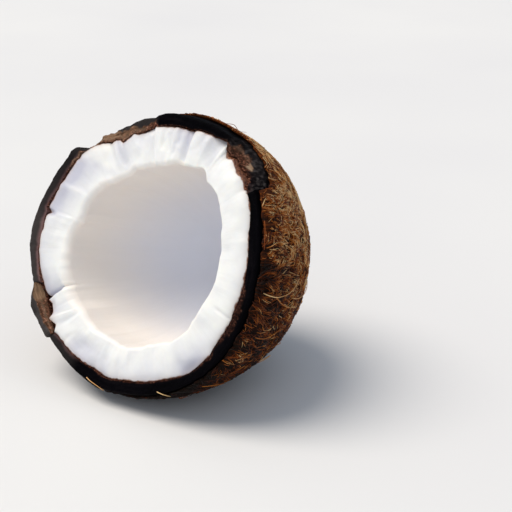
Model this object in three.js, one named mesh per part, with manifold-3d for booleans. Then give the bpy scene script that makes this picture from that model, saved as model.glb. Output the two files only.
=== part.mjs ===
// Half a coconut, cut across and lying on its side: the cut face looks to the front and a
// little up, and the fibre coat underneath is pressed into a small flat spot.
// Millimetres, +Z up, front is -Y, origin on the ground under the middle of the box.
//
// Every piece is first made in the nut's own frame, where +Y is the nut's axis, leaving
// through the cut face at Y = 0, +X is to the right and -Z is up the cut face.

import * as THREE from 'three';
import { mergeVertices } from 'three/addons/utils/BufferGeometryUtils.js';
import Module from 'manifold-3d';

// ---- Driving dimensions, in millimetres and degrees --------------------------------

const FLESH_RADIUS = 46.6; // outside of the white flesh at the cut, brown skin included
const FLESH_DEPTH = 64.4; // cut face to the pole of the flesh
const CAVITY_RADIUS = 34.0;
const CAVITY_DEPTH = 52.0;
const CAVITY_SHIFT = 1.6; // the hollow sits this far to the right of the axis
const SHELL_THICKNESS = 4.2;
const COAT_THICKNESS = 2.6;
const COAT_FRONT = { setback: 1.6, thickness: 0.7 }; // the fibres thin out towards the rim
const GAP = 0.3; // between a layer and the next

const PROFILE_POWER = 2.15; // 2 is an ellipse, more is a fuller flank
const WIDTH_RATIO = 1.04; // width over height of the cut
const POLE_RISE = 5.0; // the nut's pole lies this far above the normal of the cut
const LOBES = [
  // a coconut has three blunt ridges: order, height and direction of the crest
  { order: 3, height: 1.1, crest: 58 },
  { order: 4, height: 0.7, crest: -26 },
];
const SKIN_FLAT = { at: 113, halfWidth: 27, depth: 2.4 }; // the flat flank, on every layer

const FACE_TILT = 23.4; // the cut face looks up by this angle
const CENTRE_HEIGHT = 53.8; // middle of the cut above the ground
const HEEL = { height: 2.0, at: 270, halfWidth: 48, depth: 46, reach: 26 }; // thicker coat underneath

const LIP = { width: 2.4, bevel: 0.48 }; // the flesh slopes into the hollow over this width
const RIM_CHAMFER = 0.9; // outer edge of the shell's rim

const SEGMENTS = 48; // facets around the axis
const RINGS = 10; // facets from rim to pole

// Stretches where the flesh has come away from the shell: direction, half width and depth.
const FLESH_BITES = [
  { at: 112, halfWidth: 20, depth: 1.2 },
  { at: 215, halfWidth: 13, depth: 2.8 },
];
const BITE_LENGTH = 30; // how far behind the cut they have closed again
const OUTSIDE_SHARE = 0.85; // of the flesh's radius: from there out they take flesh away

// Places where an edge is broken off, each by a plane: direction around the axis, half
// width, drop behind the cut face, outward slope and fall along the edge. A break starts
// this far inside the layer's inner face, or outside it where the number is negative.
const BREAK_START = { shell: 4, flesh: -3, coat: 0 };
const BREAK_REACH = 6; // its width is taken this far outside its inner edge
const SHELL_BREAKS = [
  { at: 47, halfWidth: 10.5, drop: 8.5, slope: 6, fall: 0 },
  { at: 109, halfWidth: 12, drop: 1.6, slope: 5, fall: 0 },
  { at: 129.5, halfWidth: 8.5, drop: 8, slope: 5, fall: 10 },
];
const FLESH_FACETS = [
  { at: 52, halfWidth: 9, drop: 0.2, slope: 13, fall: 0 },
  { at: 101, halfWidth: 7, drop: 0.9, slope: 7, fall: 0 },
  { at: 214, halfWidth: 7, drop: 0.7, slope: 12, fall: 0 },
];
const BARE_SHELL = [
  // where the fibres are rubbed off
  { at: 68, halfWidth: 30, drop: 10, slope: 0, fall: 0 },
  { at: 129, halfWidth: 11, drop: 13, slope: 0, fall: 0 },
];
const CHIP = { at: 217, halfWidth: 11.5, depth: 9.5, lean: 13, push: 0.9, lift: 0.4 }; // loose
const CHIP_CLEARANCE = 0.5;
const CHIP_INNER_REACH = 12; // the cut that frees the chip reaches this far inside the shell

const CUTTER_SIZE = 60; // edge of a cutting block, larger than any break
const CUTTER_OVERLAP = 1; // it reaches this far inside a break's inner edge
const GROUND_SIZE = 400; // edge of the slab that trims the coat at the ground
const ON_AXIS = 1e-6; // points nearer the axis than this aren't moved across it
const MERGE_DISTANCE = 1e-4;

// ---- Small helpers -----------------------------------------------------------------

const rad = THREE.MathUtils.degToRad;

// A smooth hump: 1 at its middle and 0 from halfWidth on, for angles in degrees.
function hump(angle, middle, halfWidth) {
  const away = Math.abs(THREE.MathUtils.euclideanModulo(angle - middle + 180, 360) - 180);
  return away < halfWidth ? Math.cos((Math.PI / 2) * (away / halfWidth)) ** 2 : 0;
}

// Points of a superellipse from the rim (radius, 0) to the pole (0, -depth).
function bowlCurve(radius, depth, rings) {
  const power = 2 / PROFILE_POWER;
  return Array.from({ length: rings + 1 }, (_, i) => {
    const angle = (i / rings) * (Math.PI / 2);
    const across = i === rings ? 0 : radius * Math.cos(angle) ** power;
    return new THREE.Vector2(across, -depth * Math.sin(angle) ** power);
  });
}

// A bowl turned about the axis. The outline runs from the outer pole up to the rim, over
// the points of the rim and down to the inner pole.
function turnedBowl(outer, rim, inner) {
  const outline = [...outer.slice().reverse(), ...rim, ...inner];
  return new THREE.LatheGeometry(outline, SEGMENTS);
}

// Gives a turned bowl the shape that the nut grew: wider than tall, three-lobed, flat on
// one flank, with its pole above the normal of the cut. extra is a further offset in mm.
function growLobes(geometry, extra = () => 0) {
  const position = geometry.getAttribute('position');
  const point = new THREE.Vector3();
  for (let i = 0; i < position.count; i += 1) {
    point.fromBufferAttribute(position, i);
    const radius = Math.hypot(point.x, point.z);
    const depth = -point.y;
    if (radius > ON_AXIS) {
      const angle = THREE.MathUtils.radToDeg(Math.atan2(-point.z, point.x));
      let grown = -SKIN_FLAT.depth * hump(angle, SKIN_FLAT.at, SKIN_FLAT.halfWidth);
      for (const lobe of LOBES) {
        grown += lobe.height * Math.cos(lobe.order * rad(angle - lobe.crest));
      }
      const share = radius / FLESH_RADIUS; // lobes fade towards the pole with the radius
      const scale = (radius + grown * share + extra(angle, depth, share)) / radius;
      point.x *= scale * WIDTH_RATIO;
      point.z *= scale;
    }
    point.z -= POLE_RISE * (depth / FLESH_DEPTH);
    position.setXYZ(i, point.x, point.y, point.z);
  }
  return geometry;
}

// ---- Booleans ----------------------------------------------------------------------

const wasm = await Module();
wasm.setup();

function solidOf(geometry) {
  const bare = geometry.clone();
  bare.deleteAttribute('normal');
  bare.deleteAttribute('uv');
  const merged = mergeVertices(bare, MERGE_DISTANCE);
  const vertProperties = new Float32Array(merged.getAttribute('position').array);
  const triVerts = new Uint32Array(merged.getIndex().array);
  return new wasm.Manifold(new wasm.Mesh({ numProp: 3, vertProperties, triVerts }));
}

function geometryOf(solid) {
  const mesh = solid.getMesh();
  const geometry = new THREE.BufferGeometry();
  geometry.setAttribute('position', new THREE.BufferAttribute(mesh.vertProperties, 3));
  geometry.setIndex(new THREE.BufferAttribute(mesh.triVerts, 1));
  geometry.computeVertexNormals();
  return geometry;
}

// A block in front of the cut face whose rear side is the plane of a break. It leans
// outwards by the slope and pivots on the cut face at the radius of its inner edge.
function breakBlock({ at, halfWidth, drop, slope, fall }, innerRadius) {
  const width = 2 * (innerRadius + BREAK_REACH) * Math.tan(rad(halfWidth));
  const block = new THREE.BoxGeometry(CUTTER_SIZE, CUTTER_SIZE, width);
  block.translate(CUTTER_SIZE / 2 - CUTTER_OVERLAP, CUTTER_SIZE / 2, 0);
  block.rotateZ(-rad(slope));
  block.rotateX(rad(fall));
  block.translate(innerRadius, -drop, 0);
  block.rotateY(rad(at));
  return solidOf(block);
}

// ---- The nut's frame in the part's frame ---------------------------------------------

const coconut = new THREE.Group();
const nut = new THREE.Group();
nut.rotation.x = Math.PI - rad(FACE_TILT);
nut.position.z = CENTRE_HEIGHT;
coconut.add(nut);
coconut.updateMatrixWorld(true);

// The ground, as a thick slab seen from the nut's frame.
function groundBlock() {
  const ground = new THREE.BoxGeometry(GROUND_SIZE, GROUND_SIZE, GROUND_SIZE);
  ground.translate(0, 0, -GROUND_SIZE / 2);
  ground.applyMatrix4(nut.matrixWorld.clone().invert());
  return solidOf(ground);
}

// ---- Flesh -------------------------------------------------------------------------

function makeFlesh() {
  const outer = bowlCurve(FLESH_RADIUS, FLESH_DEPTH, RINGS);
  const cavity = bowlCurve(CAVITY_RADIUS, CAVITY_DEPTH, RINGS);
  cavity[0].set(CAVITY_RADIUS + LIP.bevel, -LIP.bevel);
  const lip = new THREE.Vector2(CAVITY_RADIUS + LIP.width, 0);
  const bitten = (angle, behind, share) => {
    const fade = share > OUTSIDE_SHARE ? Math.max(0, 1 - behind / BITE_LENGTH) : 0;
    return FLESH_BITES.reduce(
      (sum, { at, halfWidth, depth }) => sum - depth * fade * hump(angle, at, halfWidth),
      0,
    );
  };
  const bowl = growLobes(turnedBowl(outer, [lip], cavity), bitten);
  shiftCavity(bowl);
  return FLESH_FACETS.reduce(
    (flesh, facet) => flesh.subtract(breakBlock(facet, CAVITY_RADIUS - BREAK_START.flesh)),
    solidOf(bowl),
  );
}

// Moves the wall of the hollow to the right, most at the mouth and not at all at its pole.
function shiftCavity(geometry) {
  const position = geometry.getAttribute('position');
  const ringSize = RINGS + 1;
  const perSegment = 2 * ringSize + 1;
  for (let i = 0; i < position.count; i += 1) {
    const alongOutline = i % perSegment;
    const onCavity = alongOutline >= ringSize;
    if (onCavity) {
      const fade = 1 + position.getY(i) / CAVITY_DEPTH;
      position.setX(i, position.getX(i) + CAVITY_SHIFT * Math.max(0, fade));
    }
  }
}

// ---- Shell and its loose chip --------------------------------------------------------

const SHELL_INSIDE = { radius: FLESH_RADIUS + GAP, depth: FLESH_DEPTH + GAP };
const SHELL_OUTSIDE = {
  radius: SHELL_INSIDE.radius + SHELL_THICKNESS,
  depth: SHELL_INSIDE.depth + SHELL_THICKNESS,
};

function makeWholeShell() {
  const outer = bowlCurve(SHELL_OUTSIDE.radius, SHELL_OUTSIDE.depth, RINGS);
  outer[0].y = -RIM_CHAMFER;
  const chamfer = new THREE.Vector2(SHELL_OUTSIDE.radius - RIM_CHAMFER, 0);
  const inner = bowlCurve(SHELL_INSIDE.radius, SHELL_INSIDE.depth, RINGS);
  return solidOf(growLobes(turnedBowl(outer, [chamfer], inner)));
}

// The stretch of rim that has come loose: a block across the rim, as deep as the chip.
function chipBlock(margin) {
  const width = 2 * SHELL_OUTSIDE.radius * Math.tan(rad(CHIP.halfWidth)) + 2 * margin;
  const start = SHELL_INSIDE.radius - CHIP_INNER_REACH;
  const block = new THREE.BoxGeometry(CUTTER_SIZE, CUTTER_SIZE, width);
  block.translate(CUTTER_SIZE / 2 + start, CUTTER_SIZE / 2 - CHIP.depth - margin, 0);
  block.rotateY(rad(CHIP.at));
  return solidOf(block);
}

function makeShell(wholeShell) {
  return SHELL_BREAKS.reduce(
    (shell, stretch) =>
      shell.subtract(breakBlock(stretch, SHELL_INSIDE.radius - BREAK_START.shell)),
    wholeShell.subtract(chipBlock(CHIP_CLEARANCE)),
  );
}

// The chip stands in its gap in the rim, pushed out and leaning away from the flesh.
function makeChip(wholeShell) {
  const chip = geometryOf(wholeShell.intersect(chipBlock(-CHIP_CLEARANCE)));
  chip.rotateY(-rad(CHIP.at));
  chip.translate(-SHELL_INSIDE.radius, CHIP.depth, 0);
  chip.rotateZ(-rad(CHIP.lean));
  chip.translate(SHELL_INSIDE.radius + CHIP.push, CHIP.lift - CHIP.depth, 0);
  chip.rotateY(rad(CHIP.at));
  return solidOf(chip);
}

// ---- Fibre coat --------------------------------------------------------------------

function makeCoat() {
  const inside = { radius: SHELL_OUTSIDE.radius + GAP, depth: SHELL_OUTSIDE.depth + GAP };
  const outer = bowlCurve(inside.radius + COAT_THICKNESS, inside.depth + COAT_THICKNESS, RINGS);
  const inner = bowlCurve(inside.radius, inside.depth, RINGS);
  outer[0].set(inside.radius + COAT_FRONT.thickness, -COAT_FRONT.setback);
  inner[0].y = -COAT_FRONT.setback;
  const heel = (angle, depth, share) => {
    const lengthwise = Math.exp(-(((depth - HEEL.depth) / HEEL.reach) ** 2));
    return share * HEEL.height * hump(angle, HEEL.at, HEEL.halfWidth) * lengthwise;
  };
  const lining = growLobes(turnedBowl(inner, [], [new THREE.Vector2(0, -COAT_FRONT.setback)]));
  const body = turnedBowl(outer, [], [new THREE.Vector2(0, -COAT_FRONT.setback)]);
  return [
    solidOf(lining),
    ...BARE_SHELL.map((stretch) => breakBlock(stretch, SHELL_INSIDE.radius - BREAK_START.coat)),
    chipBlock(2 * CHIP_CLEARANCE),
    groundBlock(),
  ].reduce((coat, cutter) => coat.subtract(cutter), solidOf(growLobes(body, heel)));
}

// ---- Assembly ----------------------------------------------------------------------

const MATERIALS = {
  flesh: new THREE.MeshStandardMaterial({ color: 0xf4f2ef, roughness: 0.45, metalness: 0 }),
  shell: new THREE.MeshStandardMaterial({ color: 0x2a1d17, roughness: 0.6, metalness: 0 }),
  broken_shell: new THREE.MeshStandardMaterial({ color: 0x7a5a44, roughness: 0.8, metalness: 0 }),
  coir: new THREE.MeshStandardMaterial({ color: 0x7d5229, roughness: 0.95, metalness: 0 }),
};

function place(name, solid, material) {
  const mesh = new THREE.Mesh(geometryOf(solid), material);
  mesh.name = name;
  nut.add(mesh);
}

const wholeShell = makeWholeShell();
place('flesh', makeFlesh(), MATERIALS.flesh);
place('shell', makeShell(wholeShell), MATERIALS.shell);
place('shell_chip', makeChip(wholeShell), MATERIALS.broken_shell);
place('fibre_coat', makeCoat(), MATERIALS.coir);

// The origin goes under the middle of the box that holds the whole half.
coconut.updateMatrixWorld(true);
const middle = new THREE.Box3().setFromObject(coconut, true).getCenter(new THREE.Vector3());
nut.position.x -= middle.x;
nut.position.y -= middle.y;

export default coconut;
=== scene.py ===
import itertools
import logging
import math
from collections.abc import Callable
from dataclasses import dataclass, field
from enum import Enum
from functools import partial

import bpy
import numpy as np
from bpy.types import ID, Material, Node, NodeSocket, NodeTree, Object
from mathutils import Matrix


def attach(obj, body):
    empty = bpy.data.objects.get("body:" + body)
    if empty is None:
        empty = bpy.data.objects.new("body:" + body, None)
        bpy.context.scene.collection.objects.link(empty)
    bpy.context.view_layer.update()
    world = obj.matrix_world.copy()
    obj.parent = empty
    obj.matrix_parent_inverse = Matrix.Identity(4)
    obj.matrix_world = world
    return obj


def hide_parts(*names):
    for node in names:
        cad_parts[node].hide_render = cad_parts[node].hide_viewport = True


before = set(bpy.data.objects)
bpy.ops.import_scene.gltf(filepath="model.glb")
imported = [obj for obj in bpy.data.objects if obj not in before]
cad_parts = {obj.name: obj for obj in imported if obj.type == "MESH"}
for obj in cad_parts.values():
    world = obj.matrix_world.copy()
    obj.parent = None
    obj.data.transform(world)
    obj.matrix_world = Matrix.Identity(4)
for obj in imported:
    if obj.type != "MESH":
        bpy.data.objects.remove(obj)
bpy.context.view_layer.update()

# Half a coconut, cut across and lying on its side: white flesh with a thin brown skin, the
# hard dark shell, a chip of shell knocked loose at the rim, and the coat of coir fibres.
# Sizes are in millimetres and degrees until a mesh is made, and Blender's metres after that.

LOG = logging.getLogger("coconut")
METRES_PER_MM = 0.001
FULL_TURN = 360.0
QUARTER_TURN = 90.0

Array = np.ndarray
Pair = tuple[float, float]
Triple = tuple[float, float, float]
Inputs = dict[str | int, object]
# (angle, value) pairs that around() joins by straight lines
Knots = tuple[Pair, ...]


class Slot(Enum):
    """The record's material slots."""

    FLESH = "coconut_flesh"
    SHELL = "coconut_shell"
    BROKEN_SHELL = "broken_shell"
    COIR = "coir"


# ---- Small helpers ----


def linear_colour(hex_colour: str) -> tuple[float, float, float, float]:
    """Turns an sRGB hex value such as "f4f2ef" into linear RGBA.

    Args:
        hex_colour: six hex digits.

    Returns:
        Red, green, blue and alpha, linear.
    """
    parts = [int(hex_colour[i : i + 2], 16) / 255 for i in (0, 2, 4)]
    linear = [c / 12.92 if c <= 0.04045 else ((c + 0.055) / 1.055) ** 2.4 for c in parts]
    return (*linear, 1.0)


def ramp(value: Array, start: float, end: float) -> Array:
    """Smoothstep: 0 before start, 1 after end, eased in between."""
    share = np.clip((value - start) / (end - start), 0.0, 1.0)
    return share * share * (3.0 - 2.0 * share)


def turn_from(angle: Array, middle: float) -> Array:
    """How far angle lies from middle, from -180 to 180 degrees."""
    return (angle - middle + FULL_TURN / 2) % FULL_TURN - FULL_TURN / 2


def hump(angle: Array, middle: float, half_width: float) -> Array:
    """1 at the middle and 0 from half_width on, as the square of a cosine."""
    away = np.minimum(np.abs(turn_from(angle, middle)) / half_width, 1.0)
    return np.cos(away * math.pi / 2) ** 2


@dataclass(frozen=True)
class Bulge:
    """A hump round the axis: where it is, its half width in degrees, and its size."""

    at: float
    half_width: float
    size: float = 1.0

    def on(self, angle: Array) -> Array:
        """Its value at angles in degrees."""
        return self.size * hump(angle, self.at, self.half_width)


def around(angle: Array, knots: Knots) -> Array:
    """A value that changes round the axis, linear between (angle, value) knots."""
    places, values = zip(*knots)
    return np.interp(angle, places, values, period=FULL_TURN)


def on_ring(radius: Array, angle: Array, along: Array = 0.0) -> Array:
    """Points (..., 3) at a radius and an angle in degrees, and along the axis."""
    turn = np.radians(angle)
    parts = np.broadcast_arrays(radius * np.cos(turn), radius * np.sin(turn), along)
    return np.stack(parts, axis=-1)


def full_circle(columns: int) -> Array:
    """Evenly spaced angles round the axis, in degrees, as one row."""
    return np.linspace(0.0, FULL_TURN, columns, endpoint=False)[None, :]


def on_dome(turn: Array, height: Array) -> Array:
    """Unit vectors (..., 3) at an angle in radians and a height from 0 to 1."""
    flat = np.sqrt(1.0 - height**2)
    return np.stack([flat * np.cos(turn), flat * np.sin(turn), height], axis=-1)


class Roughness:
    """Seeded smooth noise: random values on a cubic lattice, blended by smoothstep."""

    LATTICE = 32

    def __init__(self, seed: int) -> None:
        """Fills the lattice with values from -1 to 1, the same ones in each run."""
        draw = np.random.default_rng(seed)
        self.values = draw.uniform(-1.0, 1.0, (self.LATTICE,) * 3)

    def at(self, points: Array, cell: float) -> Array:
        """Noise at points, with lumps about one cell across.

        Args:
            points: array (..., 3).
            cell: edge of a lattice cell in the points' units.

        Returns:
            Values from -1 to 1, shape (...).
        """
        place = points / cell
        corner = np.floor(place).astype(int)
        inside = place - corner
        eased = inside * inside * (3.0 - 2.0 * inside)
        total = np.zeros(points.shape[:-1])
        for step in itertools.product((0, 1), repeat=3):
            index = (corner + step) % self.LATTICE
            weight = np.prod(np.where(step, eased, 1.0 - eased), axis=-1)
            total += weight * self.values[index[..., 0], index[..., 1], index[..., 2]]
        return total

    def rough(self, points: Array, cell: float, octaves: int = 3) -> Array:
        """Sum of at() over octaves, each with half the cell and half the height."""
        return sum(self.at(points, cell / 2**i) / 2**i for i in range(octaves))


@dataclass(frozen=True)
class Lumps:
    """One kind of unevenness: how high it is, and how wide its lumps are, in mm."""

    height: float
    cell: float
    octaves: int = 3

    def on(self, points: Array, noise: Roughness) -> Array:
        """Its height at points (..., 3)."""
        return self.height * noise.rough(points, self.cell, self.octaves)


# ---- The nut's grown shape ----


@dataclass(frozen=True)
class Layer:
    """One grown layer: its radius at the cut and its depth at the pole, in mm."""

    radius: float
    depth: float

    def thicker(self, by: float) -> "Layer":
        """The layer that lies by millimetres further out."""
        return Layer(self.radius + by, self.depth + by)


@dataclass(frozen=True)
class NutShape:
    """The shape that every layer shares, and where the cut face stands.

    Angles run anticlockwise round the axis for someone who faces the cut, from the right.
    """

    centre: Triple = (1.297, -26.149, 53.8)  # middle of the cut
    face_tilt: float = 23.4  # the cut looks up by this
    power: float = 2.15  # 2 is an ellipse, more is a fuller flank
    width_ratio: float = 1.04
    pole_rise: float = 5.0
    pole_ring: float = 88.6  # latitude of a wall's last ring before the pole
    flesh: Layer = Layer(46.6, 64.4)
    cavity: Layer = Layer(34.0, 52.0)
    cavity_shift: float = 1.6
    gap: float = 0.3
    shell_thickness: float = 4.2
    lobes: tuple[tuple[int, float, float], ...] = ((3, 1.1, 58.0), (4, 0.7, -26.0))
    # (angle, mm) by which the flesh's outer edge stands out from its layer at the cut
    edge_knots: Knots = (
        (0, 0), (20, -0.4), (24, 0.2), (32, 0.9), (38, 0.3), (39, -0.6), (40.5, -0.1), (44, 0.2),
        (48, -0.9), (51, -0.9), (54, -0.1), (57, -1.79), (59.2, -0.4), (60.4, 3), (66, 0.7),
        (68, 0.8), (75, 0.01), (78, -0.9), (86, -0.6), (96.5, 0), (98, 0.8), (99.2, 0.4), (104, -0.1),
        (108, 0.1), (110.5, 0.8), (113.8, -0.3), (118, -1.4), (119.5, 0.1), (122, 0.5), (124.5, -0.3),
        (130, 0.8), (142, 1.5), (144, 0.3), (147, 0.4), (150, -0.13), (156, -0.91), (162, -1.5),
        (172, 0.5), (173.7, -0.8), (175, -0.4), (182, -0.5), (186, 0.5), (192, 1.3), (204, 0.9),
        (210.2, 1.2), (213.4, 0.4), (214.6, -0.4), (216, -0.4), (219, -1.7), (222.5, -1),
        (223.7, -0.3), (224.5, 1.5), (226.2, 1.2), (228, 0.5), (229.5, 0.2), (231.5, 2.4), (234, 1.4),
        (241, 0.7), (246, 0.9), (250, 0.4), (260, -0.5), (264, 0.2), (270, 0.7), (276, -0.2),
        (290, -0.2), (298, -0.1), (312, 1.1), (321, 0.47), (324, 0.8), (327, -0.3), (332, -0.6),
        (342, -0.3), (344, -0.8), (350, -0.5),
    )
    edge_reach: float = 5.0  # mm behind the cut over which that fades
    flat_flank: Bulge = Bulge(113, 27, -2.4)

    @property
    def shell_inside(self) -> Layer:
        """Inner face of the shell."""
        return self.flesh.thicker(self.gap)

    @property
    def shell_outside(self) -> Layer:
        """Outer face of the shell."""
        return self.shell_inside.thicker(self.shell_thickness)

    def edge_offset(self, angle: Array) -> Array:
        """How far the flesh's outer edge stands out from its layer at the cut, in mm."""
        return around(angle, self.edge_knots)

    def hug(self, angle: Array, behind: Array) -> Array:
        """The edge offset as it fades behind the cut, in mm."""
        return self.edge_offset(angle) * np.exp(-behind / self.edge_reach)

    def swell(self, angle: Array) -> Array:
        """Radius gained at the cut: two waves round the axis, and the flat flank's loss.

        Args:
            angle: degrees.

        Returns:
            Millimetres.
        """
        grown = self.flat_flank.on(angle)
        for order, height, crest in self.lobes:
            grown = grown + height * np.cos(np.radians(order * (angle - crest)))
        return grown

    def place(self, across: Array, up: Array, behind: Array) -> Array:
        """Points from their offsets across and up the cut face and behind it.

        Args:
            across: to the right, mm.
            up: up the face, mm.
            behind: into the nut, mm.

        Returns:
            Array (..., 3), mm in the part's frame.
        """
        tilt = math.radians(self.face_tilt)
        up_the_face = np.array([0.0, math.sin(tilt), math.cos(tilt)])
        inwards = np.array([0.0, math.cos(tilt), -math.sin(tilt)])
        offset = np.stack(np.broadcast_arrays(across, up, behind), axis=-1)
        axes = np.array([[1.0, 0.0, 0.0], up_the_face, inwards])
        return np.array(self.centre) + offset @ axes

    def into(self, by: float) -> Array:
        """The step that leads by millimetres into the nut, square to the cut."""
        return self.place(0.0, 0.0, by) - self.place(0.0, 0.0, 0.0)

    def rise(self, behind: Array) -> Array:
        """How far the axis has risen that far behind the cut, in mm."""
        return self.pole_rise * behind / self.flesh.depth

    def behind_at(self, layer: Layer, latitude: Array) -> Array:
        """A latitude's distance behind the cut, mm: depth times its sine to the 2 / power."""
        level = np.radians(np.clip(latitude, 0.0, QUARTER_TURN))
        return layer.depth * np.sin(level) ** (2.0 / self.power)

    def section(self, layer: Layer, angle: Array, latitude: Array, out: Array = 0.0) -> Array:
        """Offsets of a layer's points from the middle of the cut.

        The radius is the layer's times the latitude's cosine to the 2 / power, plus the
        swell in proportion to that, plus out. The face is widened by the width ratio, and
        the axis rises with depth.

        Args:
            layer: the layer.
            angle: round the axis, degrees.
            latitude: 0 at the cut and 90 at the pole, degrees.
            out: added to the radius, mm.

        Returns:
            Array (3, ...) of across, up and behind, in mm.
        """
        behind = self.behind_at(layer, latitude)
        level = np.radians(np.clip(latitude, 0.0, QUARTER_TURN))
        radius = layer.radius * np.cos(level) ** (2.0 / self.power)
        radius = radius + self.swell(angle) * radius / self.flesh.radius + out
        turn = np.radians(angle)
        across = self.width_ratio * radius * np.cos(turn)
        up = radius * np.sin(turn) + self.rise(behind)
        return np.array(np.broadcast_arrays(across, up, behind))

    def latitude_at(self, layer: Layer, behind: Array) -> Array:
        """The latitude, in degrees, at which a layer is that far behind the cut."""
        share = np.clip(behind / layer.depth, 0.0, 1.0)
        return np.degrees(np.arcsin(share ** (self.power / 2.0)))


# ---- Meshes ----


@dataclass
class Surface:
    """Vertices in mm, faces and named values per vertex."""

    points: Array
    quads: Array
    triangles: Array
    values: dict[str, Array] = field(default_factory=dict)

    @classmethod
    def closed_grid(cls, points: Array, values: dict[str, Array]) -> "Surface":
        """A grid that wraps round in its columns and closes at both ends.

        The first and the last row each close on one more vertex at their middle.

        Args:
            points: array (rows, columns, 3).
            values: arrays (rows, columns) or (rows, columns, 3).

        Returns:
            The closed surface, its faces pointing outwards.
        """
        rows, columns = points.shape[:2]
        index = np.arange(rows * columns).reshape(rows, columns)
        after = np.roll(index, -1, axis=1)
        quads = np.stack([index[:-1], after[:-1], after[1:], index[1:]], axis=-1)
        first, last = rows * columns, rows * columns + 1
        start = np.stack([after[0], index[0], np.full(columns, first)], axis=-1)
        end = np.stack([index[-1], after[-1], np.full(columns, last)], axis=-1)

        def with_ends(array: Array) -> Array:
            """The rows in one, then the means of the first and the last."""
            ends = [array[0].mean(axis=0, keepdims=True), array[-1].mean(axis=0, keepdims=True)]
            return np.concatenate([array.reshape(rows * columns, *array.shape[2:]), *ends])

        surface = cls(
            with_ends(points),
            quads.reshape(-1, 4),
            np.concatenate([start, end]),
            {name: with_ends(array) for name, array in values.items()},
        )
        return surface.outwards()

    @classmethod
    def tubes(cls, paths: Array, radii: Array, sides: int, values: dict[str, Array]) -> "Surface":
        """Closed tubes along paths, each ring square to its path.

        A ring's axes are the path's direction crossed with the way out from the nut's
        axis, and that result crossed with the direction.

        Args:
            paths: array (tubes, steps, 3).
            radii: array (tubes, steps).
            sides: corners of a ring.
            values: arrays (tubes, steps) given to whole rings.

        Returns:
            All the tubes as one surface.
        """
        count, steps = paths.shape[:2]
        along = np.gradient(paths, axis=1)
        along /= np.linalg.norm(along, axis=-1, keepdims=True) + 1e-9
        outwards = paths - paths.mean(axis=(0, 1))
        side = np.cross(along, outwards)
        side /= np.linalg.norm(side, axis=-1, keepdims=True) + 1e-9
        top = np.cross(side, along)
        turn = np.linspace(0.0, 2.0 * math.pi, sides, endpoint=False)
        ring = (
            side[:, :, None] * np.cos(turn)[None, None, :, None]
            + top[:, :, None] * np.sin(turn)[None, None, :, None]
        )
        points = paths[:, :, None] + radii[:, :, None, None] * ring
        index = np.arange(count * steps * sides).reshape(count, steps, sides)
        after = np.roll(index, -1, axis=2)
        quads = np.stack([index[:, :-1], after[:, :-1], after[:, 1:], index[:, 1:]], axis=-1)
        first, last = index[:, 0, ::-1], index[:, -1]
        if sides == 3:
            triangles = np.concatenate([first, last])
            quads = quads.reshape(-1, 4)
        else:
            triangles = np.zeros((0, 3), int)
            quads = np.concatenate([quads.reshape(-1, 4), first, last])
        spread = {
            name: np.repeat(array.reshape(-1), sides, axis=0) for name, array in values.items()
        }
        return cls(points.reshape(-1, 3), quads, triangles, spread).outwards()

    def volume(self) -> float:
        """Signed volume: a third of the sum of each triangle's triple product."""
        corners = np.concatenate([self.triangles, self.quads[:, :3], self.quads[:, [0, 2, 3]]])
        a, b, c = (self.points[corners[:, i]] for i in range(3))
        return float(np.einsum("ij,ij->i", a, np.cross(b, c)).sum() / 6.0)

    def outwards(self) -> "Surface":
        """The same surface with its faces pointing outwards."""
        if self.volume() < 0.0:
            self.quads = self.quads[:, ::-1]
            self.triangles = self.triangles[:, ::-1]
        return self

    def count(self) -> int:
        """Number of triangles."""
        return 2 * len(self.quads) + len(self.triangles)


def put_in_scene(name: str, data: ID) -> Object:
    """Makes the object for some data and links it to the scene.

    Args:
        name: of the object.
        data: a mesh, a camera or a light.

    Returns:
        The object.
    """
    thing = bpy.data.objects.new(name, data)
    bpy.context.scene.collection.objects.link(thing)
    return thing


def make_piece(
    name: str, surface: Surface, finish: "Finish", stands_for: str | None = None
) -> Object:
    """Makes the object for a surface, dresses it and lets it ride on the part.

    Args:
        name: of the piece.
        surface: its mesh, in mm.
        finish: its material.
        stands_for: the CAD node that it replaces, if any.

    Returns:
        The object, at the origin.
    """
    mesh = bpy.data.meshes.new(name)
    mesh.vertices.add(len(surface.points))
    mesh.vertices.foreach_set("co", (surface.points * METRES_PER_MM).astype(np.float32).ravel())
    corners = np.concatenate([surface.quads.ravel(), surface.triangles.ravel()])
    mesh.loops.add(len(corners))
    mesh.loops.foreach_set("vertex_index", corners.astype(np.int32))
    quads, triangles = len(surface.quads), len(surface.triangles)
    starts = np.concatenate([np.arange(quads) * 4, quads * 4 + np.arange(triangles) * 3])
    mesh.polygons.add(quads + triangles)
    mesh.polygons.foreach_set("loop_start", starts.astype(np.int32))
    mesh.update(calc_edges=True)
    mesh.validate()
    mesh.shade_smooth()
    for label, array in surface.values.items():
        kind, key = ("FLOAT_VECTOR", "vector") if array.ndim == 2 else ("FLOAT", "value")
        attribute = mesh.attributes.new(label, kind, "POINT")
        attribute.data.foreach_set(key, array.astype(np.float32).ravel())
    mesh.materials.append(finish.material())
    piece = put_in_scene(name, mesh)
    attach(piece, "root")
    if stands_for:
        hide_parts(stands_for)
    LOG.info("%s: %d triangles", name, surface.count())
    return piece


# ---- Finishes ----


def feed(tree: NodeTree, node: Node, inputs: Inputs) -> None:
    """Gives inputs their value: a number, a hex colour or another node's output.

    Args:
        tree: the material's nodes.
        node: the node to feed.
        inputs: what feeds each input, by its name or number.
    """
    for key, value in inputs.items():
        if isinstance(value, NodeSocket):
            tree.links.new(value, node.inputs[key])
        else:
            hexed = isinstance(value, str)
            node.inputs[key].default_value = linear_colour(value) if hexed else value


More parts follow.
